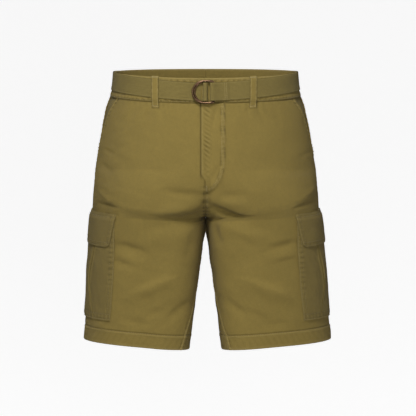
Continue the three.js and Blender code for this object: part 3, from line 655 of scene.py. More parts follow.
def panel_rows():
    """r of the rows down a panel and round its turned-up hem, and how far in each lies."""
    body = spaced((SEAM_ROW, 1.07, 0.008), (1.07, 2, 0.019), (2, 3, 0.027), (3, 3.86, 0.0105),
                  (3.86, 3.92, 0.004), (3.92, 4, 0.008))
    turn = np.linspace(0, pi, 7)[1:]
    up = np.linspace(4, HEM_ROW, 12)[1:]
    r = np.concatenate([body, 4 + 1.3 * np.sin(turn) / LEG_LENGTH, up])
    inwards = np.concatenate([np.zeros_like(body), 1.3 * (1 - np.cos(turn)), np.full_like(up, 2.6)])
    return r, inwards, len(body)


def outward_of(points, side, s, r):
    out = grow(points)
    return out * np.sign((out * normal(side, s, r)).sum(-1).mean())


def along_rows(points, out, key, wanted, rows):
    """A line down the cloth, where key, which grows from column to column, has the wanted value."""
    line, away = [], []
    for j, value in zip(rows, np.broadcast_to(wanted, len(rows))):
        line.append([np.interp(value, key[j], points[j, :, k]) for k in range(3)])
        away.append([np.interp(value, key[j], out[j, :, k]) for k in range(3)])
    return np.array(line), unit(np.array(away))


def hem_roping(run, r):
    """The slanted waves of a turned-up hem between its fold and its stitches."""
    above = (4 - r) * LEG_LENGTH
    window = ease(-1, 4, above) * ease(HEM_DEPTH + 1, HEM_DEPTH - 5, above)
    return 0.32 * np.sin(2 * pi * (run + 0.55 * above) / 11 + 1.2 * np.sin(run / 31)) * window


def round_turn(points, r, from_edge):
    """Rounds the turn from the rise into the leg, but for the panel's inner edge."""
    weights = np.exp(-((np.arange(-16, 17) / 8) ** 2))
    padded = np.pad(points, ((16, 16), (0, 0), (0, 0)), mode="edge")
    smooth = sum(w * padded[k:k + len(points)] for k, w in enumerate(weights)) / weights.sum()
    share = np.exp(-(((r - 3) / 0.2) ** 2))[:, None] * ease(1, 24, from_edge)
    return mix(points, smooth, share[..., None])


SEAMS = {}
print("hem is stitched at row", round(HEM_ROW, 3))

# %% [markdown]
# ## Fronts
# Each front runs from the fly to the slant pocket, and below the pocket to the side seam, where it laps
# over the back. The wearer's left front also laps over the right one at the fly, and the layers under it
# raise a panel that ends in the J of its double stitching. The hem is really turned up inside.

# %% Slant pocket and fly lines
SLANT_TOP_WIDTH, SLANT_BOTTOM, SLANT_CURVE = 48, -152, 1.25
FLY_LAP, FLY_UNDER, FLY_WIDTH, FLY_RISE = 7.4, 2, 36, 2.2
FLY_STRAIGHT_TO, FLY_BOTTOM = -149, -208
TUCK, FLY_END = 1.6, 2.2


def slant_width(z):
    t = np.clip((-BAND_HEIGHT - z) / (-BAND_HEIGHT - SLANT_BOTTOM), 0, 1)
    return SLANT_TOP_WIDTH * (1 - t) ** SLANT_CURVE


def side_line(side, r, more=0):
    """s of the slant pocket's edge, and below it of the side seam, more millimetres forward."""
    z = height(np.ones_like(r), False, r)
    return round_from_side(side, r, (profile(SIDE_SEAM, "forward", z) + slant_width(z) + more)[:, None])[:, 0]


def fly_width(z):
    t = np.clip((FLY_STRAIGHT_TO - z) / (FLY_STRAIGHT_TO - FLY_BOTTOM), 0, 1)
    return FLY_WIDTH * np.sqrt(1 - t * t)


def front_first(side, r):
    z = height(np.zeros_like(r), False, r)
    lap = FLY_LAP * ease(-190, -176, z) if side > 0 else mix(TUCK, FLY_UNDER, ease(-174, -168, z))
    upper = np.where(lap > HALF_GAP, across(side, np.minimum(r, FLY_END), -lap), 0)
    if side < 0:
        tucked = walk(side, np.minimum(r, 2.99), np.zeros_like(r), np.full_like(r, -TUCK))
        upper = np.where(r > FLY_END, tucked, upper)
    lapped = walk(side, np.maximum(r, 3 + STEP), inseam(side, r), -ease(3, 3.1, r))
    return np.where(r > 3, lapped, upper)


def fly_relief(x, z, from_edge):
    """The raised panel of the fly, and the marks of its sewing."""
    inside = fly_width(z) - x
    shown = ease(-216, -206, z)
    ripples = np.sin(2 * pi * (z + 0.7 * x) / 8.3 + np.sin(z / 17)) * np.exp(-(((x - 3) / 6) ** 2))
    ripples = 0.62 * ripples * (1 + 0.5 * np.sin(z / 11)) * ease(-196, -150, z) * ease(-48, -66, z)
    marks = furrow(inside - 1.8, 0.7) + furrow(inside - 7.8, 0.6) + ridge(inside - 4.8, 0.9)
    marks = (marks + pucker(z, inside - 4.8, 0.2, 7.5, 3, 2)) * shown
    marks = marks + ridge(from_edge - 1.8, 0.5) * ease(-190, -176, z)
    rolled = -0.7 * np.exp(-((from_edge / 1.3) ** 2)) * ease(-190, -176, z)
    return FLY_RISE * ease(-3, 4, inside) * shown + rolled, marks + ripples


def band_marks(run, below_band, seed):
    """What the waistband's seam draws up in the panel under it."""
    near_loop = 0.25 + np.exp(-(((np.abs(run) - 88) / 16) ** 2))
    # Besides the relief, this darkens the cloth under the waistband's seam as painted shade.
    return furrow(below_band, 0.8, 1.3) + pucker(run, below_band - 5, 0.11, 11, 5, seed) * near_loop


def hem_marks(run, r):
    above_hem = (4 - r) * LEG_LENGTH
    sewn = furrow(above_hem - HEM_DEPTH - 1, 0.6, 1.4) + ridge(above_hem - HEM_DEPTH + 2, 0.5)
    return sewn + 0.3 * hem_roping(run, r)


def inseam_closing(z, r, from_edge):
    """Just below the crotch the two legs' cloth meets and the gap between them is shut."""
    gap = np.clip(profile(SECTIONS, "inner", z) - 0.1, 0, 3)
    return gap * ease(-318, -286, z) * ease(30, 8, from_edge) * (r > 3)


def front_relief(side, p, r, from_first, from_last):
    """How far the front stands off the plain surface, and the marks of its sewing: paler on raised parts as worn
    cloth and painted highlight, darker in furrows as painted shade.
    """
    x, z = side * p[..., 0], p[..., 2]
    slant = ease(SLANT_BOTTOM - 2, SLANT_BOTTOM + 8, z)
    leg = ease(3, 3.08, r)
    opening = 0.7 * ease(14, 2, from_last) - 0.6 * np.exp(-((from_last / 0.9) ** 2))
    seam = 0.55 * ease(8.5, 5, from_last) - 0.5 * np.exp(-((from_last / 1) ** 2))
    inner = 0.4 * ease(9, 6, from_first) - 0.5 * np.exp(-((from_first / 1) ** 2))
    rise = -0.4 * np.exp(-((x / 1.4) ** 2)) * ease(-186, -194, z)
    lift = folds(side, 0, x, z) + cockle(x, z, 3 + side) + mix(seam, opening, slant) + mix(rise, inner, leg)
    lift = lift + inseam_closing(z, r, from_first)
    at_opening = furrow(from_last - 2.2, 0.8) + furrow(from_last - 8.4, 0.9) + ridge(from_last - 5.3, 0.7)
    at_opening = at_opening + pucker(z, from_last - 5.3, 0.42, 6.6, 4, side) * ease(-1, 3, from_last)
    at_seam = furrow(from_last - 2) + pucker(z, from_last - 5, 0.12, 9, 3, side)
    at_inner = furrow(from_first - 0.5, 0.9) + ridge(from_first - 4.2, 0.7) + furrow(from_first - 8, 0.5)
    at_inner = at_inner + pucker(z, from_first - 6, 0.12, 8, 3.5, side)
    at_rise = (furrow(x - 3, 0.5) + pucker(z, x - 2, 0.28, 6.2, 6, 3)) * ease(-196, -204, z)
    marks = mix(at_seam, at_opening, slant) + mix(at_rise, at_inner, leg)
    if side > 0:
        raised, sewn = fly_relief(x, z, from_first)
        lift, marks = lift + raised, marks + sewn
    else:
        lift = lift - 1.1 * ease(3, 1.4, from_first) * ease(-170, -176, z) * ease(3.02, 3, r)
        # Painted shadow: a dark line on the right front beside the left front's lapped edge, also sunk as a furrow.
        marks = marks + furrow(x - FLY_LAP - 0.6, 1.1, 1.5) * ease(-190, -176, z)
    marks = marks + band_marks(x, (r - SEAM_ROW) * 130, 4 * side) + hem_marks(x + 9 * side, r)
    above_hem = (4 - r) * LEG_LENGTH
    lift = lift + 0.35 * ease(HEM_DEPTH, HEM_DEPTH - 3, above_hem)
    return lift + marks, marks


# %% Cut and sew the fronts
def cut_front(word):
    side = SIDES[word]
    r, inwards, body = panel_rows()
    last = side_line(side, r, -1.2 * ease(-150, -160, height(np.ones_like(r), False, r)))
    s, from_first, from_last = panel_columns(side, r, front_first(side, r), last, 66)
    rr = np.broadcast_to(r[:, None], s.shape)
    p = surface(side, s, rr)
    relief, marks = front_relief(side, p, rr, from_first, from_last)
    points = round_turn(lifted(side, s, rr, relief - inwards[:, None]), r, from_first)
    out = outward_of(points, side, s, rr)
    # Paler along the slant opening's edge and the hem's fold as worn cloth; the sewing marks add paler raised parts
    # and painted shade in their furrows.
    wear_and_painted_light = 0.8 * np.exp(-((from_last / 2.2) ** 2)) + 0.8 * np.exp(-(((4 - rr) * LEG_LENGTH / 2.5) ** 2)) + marks
    x, z = side * p[..., 0], p[..., 2]
    rows = np.arange(body)
    z_side = z[:, -1]
    slant = rows[(z_side[:body] > SLANT_BOTTOM + 3) & (rows > 1)]
    seam = rows[z_side[:body] < SLANT_BOTTOM - 4]
    leg = rows[r[:body] > 3.02]
    sewn = [seam_row(*along_rows(points, out, -from_last, -inset, slant)) for inset in (2.2, 8)]
    sewn += [seam_row(*along_rows(points, out, -from_last, -2, seam))]
    sewn += [seam_row(*along_rows(points, out, from_first, inset, leg)) for inset in (2, 7)]
    hem = int(np.argmin(np.abs(r[:body] - HEM_ROW)))
    sewn += [seam_row(points[hem], out[hem])]
    tack = int(np.argmin(np.abs(z_side[:body] - SLANT_BOTTOM - 4)))
    sewn += [seam_row(points[tack, -12:-1], out[tack, -12:-1], 0.75, 6)]
    if side > 0:
        for inset in (2.5, 7):
            rows_j = rows[(z[:body, 6] > FLY_BOTTOM + 3) & (rows > 1) & (fly_width(z[:body, 6]) - inset > 2)]
            sewn += [seam_row(*along_rows(points, out, x, fly_width(z[rows_j, 6]) - inset, rows_j))]
        tack_rows = rows[(z[:body, 0] < -193) & (z[:body, 0] > -210)]
        sewn += [seam_row(*along_rows(points, out, x, 2.6, tack_rows), 0.75, 6)]
        rise = rows[(z[:body, 0] < -212) & (r[:body] < 2.93)]
        sewn += [seam_row(*along_rows(points, out, x, 3, rise))]
    SEAMS["front_" + word] = sewn
    return lay_cloth("cloth_front_" + word, points, out, CLOTH_THICK, np.clip(wear_and_painted_light, -1, 1))


CLOTH = {"front_" + word: cut_front(word) for word in SIDES}

# %% [markdown]
# ## Backs
# The backs are plain: one panel each from the side seam, where it tucks under the front, to the centre
# seam, which is felled with a double row of stitches on the wearer's left, and below to the inseam.

# %% Cut and sew the backs
def back_relief(side, p, s, r, from_first, from_last):
    """How far the back stands off the plain surface, and the marks of its sewing: paler on raised parts as worn cloth
    and painted highlight, darker in furrows as painted shade.
    """
    x, z = side * p[..., 0], p[..., 2]
    on_back = ease(1, 1.1, s) * ease(2.0, 1.95, s - np.where(r > 3, s[:, -1:] - 2, 0))
    lift = folds(side, 1, x, z) * on_back + cockle(x, z, 9 + side)
    lift = lift - 1.15 * ease(6.5, 2.5, from_first) * ease(-150, -160, z)
    lift = lift - 0.5 * np.exp(-((from_first / 1) ** 2)) * ease(-160, -150, z)
    centre = 0.4 * ease(9.5, 7.5, from_last) if side > 0 else -1.1 * ease(3, 1.4, from_last)
    centre = centre - 0.5 * np.exp(-((from_last / 1.2) ** 2))
    under = -1.15 * ease(6.5, 2.5, from_last)
    leg = ease(3, 3.05, r)
    lift = lift + mix(centre, under, leg) + inseam_closing(z, r, from_last)
    felled = furrow(from_last - 2) + furrow(from_last - 7.5) + pucker(z, from_last - 4.5, 0.3, 9, 5, side)
    marks = (felled if side > 0 else 0) * (1 - leg) + pucker(z, from_first - 5, 0.14, 9, 5, 2 * side)
    marks = marks + band_marks(x, (r - SEAM_ROW) * 130, 7 * side) + hem_marks(x + 4 * side, r)
    above_hem = (4 - r) * LEG_LENGTH
    lift = lift + 0.35 * ease(HEM_DEPTH, HEM_DEPTH - 3, above_hem)
    return lift + marks, marks


def cut_back(word):
    side = SIDES[word]
    r, inwards, body = panel_rows()
    z_side = height(np.ones_like(r), False, r)
    seam = profile(SIDE_SEAM, "forward", z_side) + 2.5 * ease(-150, -160, z_side)
    first = round_from_side(side, r, seam[:, None])[:, 0]
    tucked = walk(side, np.maximum(r, 3 + STEP), inseam(side, r), 2 * ease(3, 3.1, r))
    over = 0 if side > 0 else walk(side, np.minimum(r, 2.99), np.zeros_like(r), np.full_like(r, TUCK))
    last = 2 + np.where(r > 3, tucked, over)
    s, from_first, from_last = panel_columns(side, r, first, last, 60)
    rr = np.broadcast_to(r[:, None], s.shape)
    p = surface(side, s, rr)
    relief, marks = back_relief(side, p, s, rr, from_first, from_last)
    points = round_turn(lifted(side, s, rr, relief - inwards[:, None]), r, from_last)
    out = outward_of(points, side, s, rr)
    # Paler at the hem's fold as worn cloth; the sewing marks add paler raised parts and painted shade in their
    # furrows.
    wear_and_painted_light = 0.8 * np.exp(-(((4 - rr) * LEG_LENGTH / 2.5) ** 2)) + marks
    hem = int(np.argmin(np.abs(r[:body] - HEM_ROW)))
    sewn = [seam_row(points[hem], out[hem])]
    if side > 0:
        centre = np.arange(2, body)[r[2:body] < 2.95]
        sewn += [seam_row(*along_rows(points, out, -from_last, -inset, centre)) for inset in (2, 7.5)]
    SEAMS["back_" + word] = sewn
    return lay_cloth("cloth_back_" + word, points, out, CLOTH_THICK, np.clip(wear_and_painted_light, -1, 1))


for word in SIDES:
    CLOTH["back_" + word] = cut_back(word)

# %% [markdown]
# ## Pocket facings
# Inside each slant opening the cloth that shows belongs to the facing of the pocket bag. It lies under
# the front's rolled edge and runs on under the back.

# %% Cut the facings
def cut_facing(word):
    side = SIDES[word]
    bottom = float(row_at(1.0, -166.0))
    r = np.linspace(SEAM_ROW, bottom, 56)
    z = height(np.ones_like(r), False, r)
    seam = profile(SIDE_SEAM, "forward", z)
    t = np.linspace(0, 1, 30)
    forward = mix((seam + slant_width(z) + 18)[:, None], (seam - 5)[:, None], t[None, :])
    s = round_from_side(side, r, forward)
    rr = np.broadcast_to(r[:, None], s.shape)
    p = surface(side, s, rr)
    lift = -1.9 + 0.5 * cockle(p[..., 1] * 1.4, p[..., 2] * 1.2, 5 + side)
    points = lifted(side, s, rr, lift)
    out = outward_of(points, side, s, rr)
    return lay_cloth("cloth_facing_" + word, points, out, 1)


for word in SIDES:
    CLOTH["pocket_facing_" + word] = cut_facing(word)

# %% [markdown]
# ## Waistband
# A waistband is one strip folded along its top: it goes up outside, over the edge and down inside, so
# the sheet here does the same. Each half runs from the front closure to the seam at the centre back.
# The right half's end steps back, because the left half lies over it.

# %% Cut and sew the waistband
BAND_OUT, BAND_IN = 1.0, -1.8
BAND_UNDERLAP, BAND_UNDERLAP_DROP = 26, 3.2


def cut_waistband(word):
    side = SIDES[word]
    edge = np.array([0, 0.7, 1.4, 2.1, 2.8, 3.6, 4.6, 5.6, 6.5, 7.4, 8.6])
    outside = np.concatenate([edge, np.linspace(10.5, 32.5, 10), BAND_HEIGHT - edge[::-1]])
    turn = np.linspace(0, pi, 9)[1:-1]
    half = (BAND_OUT - BAND_IN) / 2
    inside = np.linspace(0, BAND_HEIGHT, 18)
    drop_ = np.concatenate([BAND_HEIGHT - outside, -half * np.sin(turn), inside])
    lift = np.concatenate([np.full_like(outside, BAND_OUT), BAND_OUT - half * (1 - np.cos(turn)),
                           np.full_like(inside, BAND_IN)])
    r = drop_ / BAND_HEIGHT
    lap = FLY_LAP if side > 0 else BAND_UNDERLAP
    first = across(side, r, -float(lap))
    s, from_first, from_last = panel_columns(side, r, first, np.full_like(r, 2), 118)
    rr = np.broadcast_to(r[:, None], s.shape)
    p = surface(side, s, rr)
    x, down = side * p[..., 0], BAND_HEIGHT * rr
    run = from_last
    outer = (np.arange(len(r)) < len(outside))[:, None]
    marks = furrow(down - 2.8, 0.4) + furrow(down - 6.5, 0.4) + furrow(down - 40.8, 0.5)
    marks = marks + pucker(run, down - 4.6, 0.26, 6, 3.5, side) + pucker(run, down - 39, 0.2, 6.5, 3, 2)
    marks = np.where(outer, marks - 0.7 * np.exp(-(((BAND_HEIGHT - down) / 1.1) ** 2)), 0)
    relief = 0.35 * cockle(run, down * 1.3, side) + marks
    relief = relief - 0.6 * np.exp(-((from_last / 1) ** 2))
    if side < 0:
        relief = relief - np.where(s < 1, BAND_UNDERLAP_DROP * (1 - ease(9, 22, x)), 0)
    points = lifted(side, s, rr, lift[:, None] + relief)
    out = outward_of(points[: len(outside)], side, s[: len(outside)], rr[: len(outside)])
    out = np.concatenate([out, normal(side, s[len(outside):], rr[len(outside):])])
    # Paler along the folded top as worn cloth; the sewing marks add paler raised parts, and painted shade in the
    # furrows and along the band's lower edge.
    wear_and_painted_light = 0.9 * np.exp(-((down / 1.6) ** 2)) + marks
    rows = [int(np.argmin(np.abs(down[: len(outside), 0] - at))) for at in (2.8, 6.5, 40.8)]
    sewn = [seam_row(points[j], out[j]) for j in rows]
    inner_row = len(r) - 2
    sewn += [seam_row(points[inner_row], -normal(side, s[inner_row], rr[inner_row]))]
    ends = np.arange(3, len(outside) - 3)
    if side > 0:
        sewn += [seam_row(*along_rows(points, out, from_first, 2.4, ends))]
    SEAMS["waistband_" + word] = sewn
    return lay_cloth("cloth_waistband_" + word, points, out_facing(out, len(outside)), 1.15, np.clip(wear_and_painted_light, -1, 1))


def out_facing(out, outside):
    """Only the outer rows say which way the folded strip faces."""
    facing = np.zeros_like(out)
    facing[: outside - 1] = out[: outside - 1]
    return facing


for word in SIDES:
    CLOTH["waistband_" + word] = cut_waistband(word)

# %% [markdown]
# ## Cargo pockets and flaps
# The pocket is a patch set over the side seam, with an inverted pleat that stands open in the middle and
# closes at the top and bottom, so it reads as a dark crescent that bows towards the back; its dark middle
# is deepened with painted shade. The flap is two layers sewn round its edges and falls over the pocket's mouth.

# %% Places on the leg
POCKET_FRONT, POCKET_BACK, POCKET_TOP, POCKET_BOTTOM, POCKET_LEAN = 80, -48, -262, -449, 16
PLEAT_BOW = dict(zip(("z", "at"), np.array([(-262, 31), (-300, 28.5), (-336, 22.5), (-365, 15.5), (-388, 13.5),
                                            (-404, 19), (-420, 27), (-436, 34), (-449, 36)], float).T))


def leg_spot(side, z, forward):
    """s and r at heights z (one a row) and distances forward of the side seam (rows by columns)."""
    level = row_at(np.ones_like(z), z)
    lean = POCKET_LEAN * (z - POCKET_BOTTOM) / (POCKET_TOP - POCKET_BOTTOM)
    s = round_from_side(side, level, (profile(SIDE_SEAM, "forward", z) + lean)[:, None] + forward)
    return s, row_at(s, np.broadcast_to(z[:, None], s.shape))


def pleat_opening(z):
    return np.sin(pi * ease(POCKET_TOP, POCKET_BOTTOM, z)) ** 1.5


# %% Cut and sew the pockets
def cut_pocket(word):
    side = SIDES[word]
    z = spaced((POCKET_TOP, -440, 2.4), (-440, POCKET_BOTTOM, 1))
    open_ = pleat_opening(z)[:, None]
    centre = profile(PLEAT_BOW, "at", z)[:, None]
    fold = mix(1.4, 4.6, open_)
    front_part = np.concatenate([NEAR_EDGE / 50, np.linspace(0.33, 0.97, 11)])[None, :]
    pleat_part = np.linspace(2.6, -2.6, 41)[None, :]
    back_part = (1 - np.concatenate([NEAR_EDGE / 62, np.linspace(0.27, 0.97, 12)]))[None, ::-1]
    forward = np.concatenate([
        mix(POCKET_FRONT, centre + 2.6 * fold, front_part),
        centre + fold * pleat_part,
        mix(centre - 2.6 * fold, POCKET_BACK, back_part),
    ], axis=1)
    zz = np.broadcast_to(z[:, None], forward.shape)
    sides_edge = np.minimum(POCKET_FRONT - forward, forward - POCKET_BACK)
    from_bottom = zz - POCKET_BOTTOM
    edge = np.minimum(np.minimum(sides_edge, from_bottom), POCKET_TOP - zz + 3)
    full = mix(3, 4.6, open_)
    body = mix(2.2, full, ease(0, 9, edge))
    at = np.abs(forward - centre) / fold
    rolled = body + 1.6 * open_ * np.exp(-(((at - 1.25) / 0.4) ** 2))
    lift = mix(np.full_like(body, 1.7), rolled, ease(0.45, 0.95, at))
    sewn_relief = furrow(sides_edge - 2) + furrow(sides_edge - 7.5)
    sewn_relief = sewn_relief + furrow(from_bottom - 2) + furrow(from_bottom - 11)
    drawn_up = pucker(zz, sides_edge - 6, 0.2, 9.2, 5, side) * ease(0.9, 1.6, at)
    sewn_relief = sewn_relief + drawn_up * (0.5 + 0.5 * np.sin(zz / 31))
    sewn_relief = sewn_relief + pucker(forward, from_bottom - 6, 0.14, 10, 5, 3)
    creases = 0.9 * cockle(forward * 1.2, zz, 11 + side) - 0.5 * np.exp(-((sides_edge / 0.9) ** 2))
    lift = np.maximum(lift + sewn_relief + creases * ease(0, 4, np.abs(at - 0.2)), 1.6)
    s, r = leg_spot(side, z, forward)
    points = lifted(side, s, r, lift)
    out = outward_of(points, side, s, r)
    # Paler along the pocket's edges and on the pleat's rolled edges, as worn cloth and painted highlight; darker in
    # the sewing's furrows and in the pleat's open middle, as painted shade.
    wear_and_painted_light = 0.8 * np.exp(-((np.minimum(sides_edge, from_bottom) / 1.8) ** 2)) + sewn_relief
    wear_and_painted_light = wear_and_painted_light + (0.7 * np.exp(-(((at - 1.2) / 0.35) ** 2)) - 1.1 * np.exp(-((at / 0.6) ** 4))) * (at < 2) * open_
    rows = np.arange(2, len(z) - 2)
    sewn = [seam_row(*along_rows(points, out, -forward, -(POCKET_FRONT - inset), rows)) for inset in (2, 7.5)]
    sewn += [seam_row(*along_rows(points, out, -forward, -(POCKET_BACK + inset), rows)) for inset in (2, 7.5)]
    for inset in (2, 11):
        j = int(np.argmin(np.abs(z - POCKET_BOTTOM - inset)))
        sewn += [seam_row(points[j, 3:-3], out[j, 3:-3])]
    SEAMS["cargo_pocket_" + word] = sewn
    return lay_cloth("cloth_cargo_pocket_" + word, points, out, 1.2, np.clip(wear_and_painted_light, -1, 1))


# %% Cut and sew the flaps
FLAP_TOP, FLAP_HEIGHT = -252, 61


def cut_flap(word):
    side = SIDES[word]
    t = np.concatenate([[0, 0.015, 0.03, 0.05, 0.07, 0.09, 0.11, 0.14, 0.17, 0.2], np.linspace(0.24, 0.84, 16),
                        [0.865, 0.89, 0.91, 0.93, 0.95, 0.965, 0.98, 0.99, 1]])
    width = POCKET_FRONT - POCKET_BACK
    u = np.concatenate([NEAR_EDGE / width, np.linspace(0.135, 0.865, 34), 1 - NEAR_EDGE[::-1] / width])
    front_edge = POCKET_FRONT + 4 - 13 * t
    back_edge = POCKET_BACK - 4 + 10 * t
    forward = mix(front_edge[:, None], back_edge[:, None], u[None, :])
    side_inset = np.minimum(u, 1 - u)[None, :] * (front_edge - back_edge)[:, None]
    corner = 1 - 0.07 * np.exp(-((side_inset / 4) ** 2)) * t[:, None] ** 4
    z = FLAP_TOP - FLAP_HEIGHT * t
    s, r = leg_spot(side, z, forward)
    zz = z[:, None] + FLAP_HEIGHT * (1 - corner) * t[:, None]
    r = row_at(s, zz)
    below = FLAP_HEIGHT * (1 - t)[:, None]
    from_top = FLAP_HEIGHT * t[:, None]
    lift = mix(2.2, 5.4, ease(0, 0.22, t))[:, None] + 0.8 * t[:, None]
    marks = furrow(side_inset - 2) + furrow(side_inset - 7.5) + furrow(below - 2) + furrow(below - 7.5)
    marks = marks + furrow(from_top - 5.5, 0.5) + pucker(zz, side_inset - 5, 0.1, 8, 4, side)
    marks = marks + pucker(forward, below - 5, 0.1, 9, 4, 2 * side) + pucker(forward, from_top - 5, 0.12, 9, 4, 1)
    lift = lift + marks - 0.5 * np.exp(-((np.minimum(side_inset, below) / 0.9) ** 2))
    lift = lift + 0.8 * cockle(forward, zz, 17 + side)
    points = lifted(side, s, r, lift)
    out = outward_of(points, side, s, r)
    # Paler along the flap's edges as worn cloth; the sewing marks add paler raised parts and painted shade in their
    # furrows.
    wear_and_painted_light = 0.9 * np.exp(-((np.minimum(np.minimum(side_inset, below), from_top) / 1.8) ** 2)) + marks
    rows = np.arange(3, len(t) - 3)
    key = u[None, :] * (front_edge - back_edge)[:, None]
    far = (front_edge - back_edge)[rows]
    sewn = [seam_row(*along_rows(points, out, key, inset, rows)) for inset in (2, 7.5)]
    sewn += [seam_row(*along_rows(points, out, key, far - inset, rows)) for inset in (2, 7.5)]
    for at in (5.5, FLAP_HEIGHT - 7.5, FLAP_HEIGHT - 2):
        j = int(np.argmin(np.abs(t * FLAP_HEIGHT - at)))
        sewn += [seam_row(points[j, 3:-3], out[j, 3:-3])]
    SEAMS["cargo_flap_" + word] = sewn
    return lay_cloth("cloth_cargo_flap_" + word, points, out, 1.4, np.clip(wear_and_painted_light, -1, 1))


for word in SIDES:
    CLOTH["cargo_pocket_" + word] = cut_pocket(word)
    CLOTH["cargo_flap_" + word] = cut_flap(word)

# %% [markdown]
# ## Belt loops
# A loop is a narrow strip with its long edges stitched. Its top end is folded over and tacked to the
# waistband, it bridges the belt, and it is tacked again just below the waistband with a small fold. The
# two in front show in the picture; the three behind are made the same.

# %% Cut and sew the loops
LOOP_HALF = 6.25
# name: side, distance from the middle, on the back, top
LOOPS = {
    "belt_loop_front_left": (1, 85, False, 3.2),
    "belt_loop_front_right": (-1, 89.5, False, 3.2),
    "belt_loop_back_left": (1, 92, True, -0.4),
    "belt_loop_back_right": (-1, 92, True, -0.4),
    "belt_loop_back_centre": (1, 0, True, -0.4),
}


def cut_loop(node, side, x, back, top):
    shape = np.array([(top + 0.01, 2.9), (top - 3, 4.8), (-20, 4.9), (-38.8, 4.8), (-44.5, 3.2),
                      (-48, 2.4), (-54, 2.3)])
    shape = {"z": shape[:, 0], "lift": shape[:, 1]}
    drop_ = spaced((top, top - 6, 0.7), (top - 6, -38, 1.8), (-38, -54, 0.8))
    across_ = np.array([-1, -0.93, -0.82, -0.68, -0.5, -0.25, 0, 0.25, 0.5, 0.68, 0.82, 0.93, 1]) * LOOP_HALF
    xx, dd = np.meshgrid(x + across_, drop_)
    near = across(side, np.zeros_like(xx), xx, back)
    turn = np.where(near > 1, 2 - near, np.abs(near))
    z = band_top(turn, back) + dd
    s = across(side, row_at(near, z), xx, back)
    r = row_at(s, z)
    edge = LOOP_HALF - np.abs(across_)[None, :]
    from_top, from_bottom = top - dd, dd + 54
    lift = profile(shape, "lift", dd) - 0.5 * np.exp(-((edge / 0.8) ** 2)) + furrow(edge - 1.8, 0.25, 0.7)
    lift = lift - 1.2 * np.exp(-((from_top / 0.9) ** 2)) - 0.9 * np.exp(-((from_bottom / 0.9) ** 2))
    marks = furrow(from_top - 3, 0.4) + furrow(from_bottom - 3.5, 0.7) + 0.25 * np.sin(dd / 1.9 + x) * (edge < 3)
    lift = lift + marks
    points = lifted(side, s, r, lift)
    out = outward_of(points, side, s, r)
    # Painted shade: dark along the loop's long edges and in the furrows under its tacks; paler just inside the edges
    # and at both folded ends, as worn cloth.
    wear_and_painted_light = marks - 1.3 * np.exp(-((edge / 0.8) ** 2)) + 0.7 * np.exp(-(((edge - 1.6) / 0.8) ** 2))
    wear_and_painted_light = wear_and_painted_light + 0.8 * np.exp(-((from_top / 1.6) ** 2)) + 0.8 * np.exp(-((from_bottom / 1.6) ** 2))
    rows = np.arange(2, len(drop_) - 2)
    sewn = [seam_row(*along_rows(points, out, across_[None, :] + 0 * dd, off, rows)) for off in (-4.45, 4.45)]
    for at in (top - 2.6, -50.6):
        j = int(np.argmin(np.abs(drop_ - at)))
        sewn += [seam_row(points[j, 1:-1], out[j, 1:-1], 0.7, 6)]
    SEAMS[node] = sewn
    return lay_cloth("cloth_" + node, points, out, 1.4, np.clip(wear_and_painted_light, -1, 1))


for node, (side, x, back, top) in LOOPS.items():
    CLOTH[node] = cut_loop(node, side, x, back, top)

# %% [markdown]
# ## Belt
# The belt is one length of cotton webbing. Its fixed end is folded round the straight bars of both
# D-rings and sewn down; from there it runs round the waist and back to the rings, where its free end
# shows as a narrow band between them. A path of places and lifts over the waistband carries the strip.

# %% Webbing along a path
BELT_WIDTH, BELT_THICK, BELT_LIFT = 33, 1.5, 2.1
BELT_TOP_FRONT, BELT_TOP_SIDE, BELT_TOP_BACK = -13, 2, -5
FOLDED_END = [(36, 2.1), (22, 2.1), (15.2, 2.1), (13, 3), (9.4, 6.6), (8.55, 8.7), (9.4, 10.7), (11.4, 11.5),
              (14, 10.9), (20, 8), (27, 5.2), (33, 4), (38, 3.8), (43, 2.1)]
FREE_END = [(-24, 2.1), (-15, 2.1), (-7.4, 2.1)]
TONGUE = [(-3.9, 2.2), (-3.8, 6.6), (-3, 8.8), (-0.6, 9.6), (1.6, 9.2), (2.9, 7.6), (3, 2.2)]


def belt_top(s):
    front = mix(BELT_TOP_FRONT, BELT_TOP_SIDE, np.maximum(0, np.sin(np.clip(s, 0, 1) * pi / 2)) ** 1.5)
    return np.where(s <= 1, front, mix(BELT_TOP_SIDE, BELT_TOP_BACK, turn_ease(s - 1)))


def belt_place(x):
    """g at distances from the middle of the front, the wearer's left positive; g runs on round the waist."""
    x = np.asarray(x, float)
    return np.where(x < 0, -across(-1, 0.5, np.abs(x)), across(1, 0.5, np.abs(x)))


def belt_point(g, drop_, lift):
    left = (g >= 0) & (g <= 2)
    s = np.where(g < 0, -g, np.where(g <= 2, g, 4 - g))
    r = row_at(s, belt_top(s) + drop_)
    return np.where(left[..., None], lifted(1, s, r, lift), lifted(-1, s, r, lift))


def smooth_path(spots, step):
    """A smooth line through a few places, with points at an even step."""
    spots = np.array(spots, float)
    run = np.concatenate([[0], np.cumsum(np.linalg.norm(np.diff(spots, axis=0), axis=1))])
    way = np.gradient(spots, run, axis=0)
    at = np.linspace(0, run[-1], max(2, int(run[-1] / step)))
    k = np.clip(np.searchsorted(run, at, side="right") - 1, 0, len(run) - 2)
    span = (run[k + 1] - run[k])[:, None]
    t = ((at - run[k]) / span[:, 0])[:, None]
    return (spots[k] * (2 * t**3 - 3 * t**2 + 1) + way[k] * span * (t**3 - 2 * t**2 + t)
            + spots[k + 1] * (3 * t**2 - 2 * t**3) + way[k + 1] * span * (t**3 - t**2))


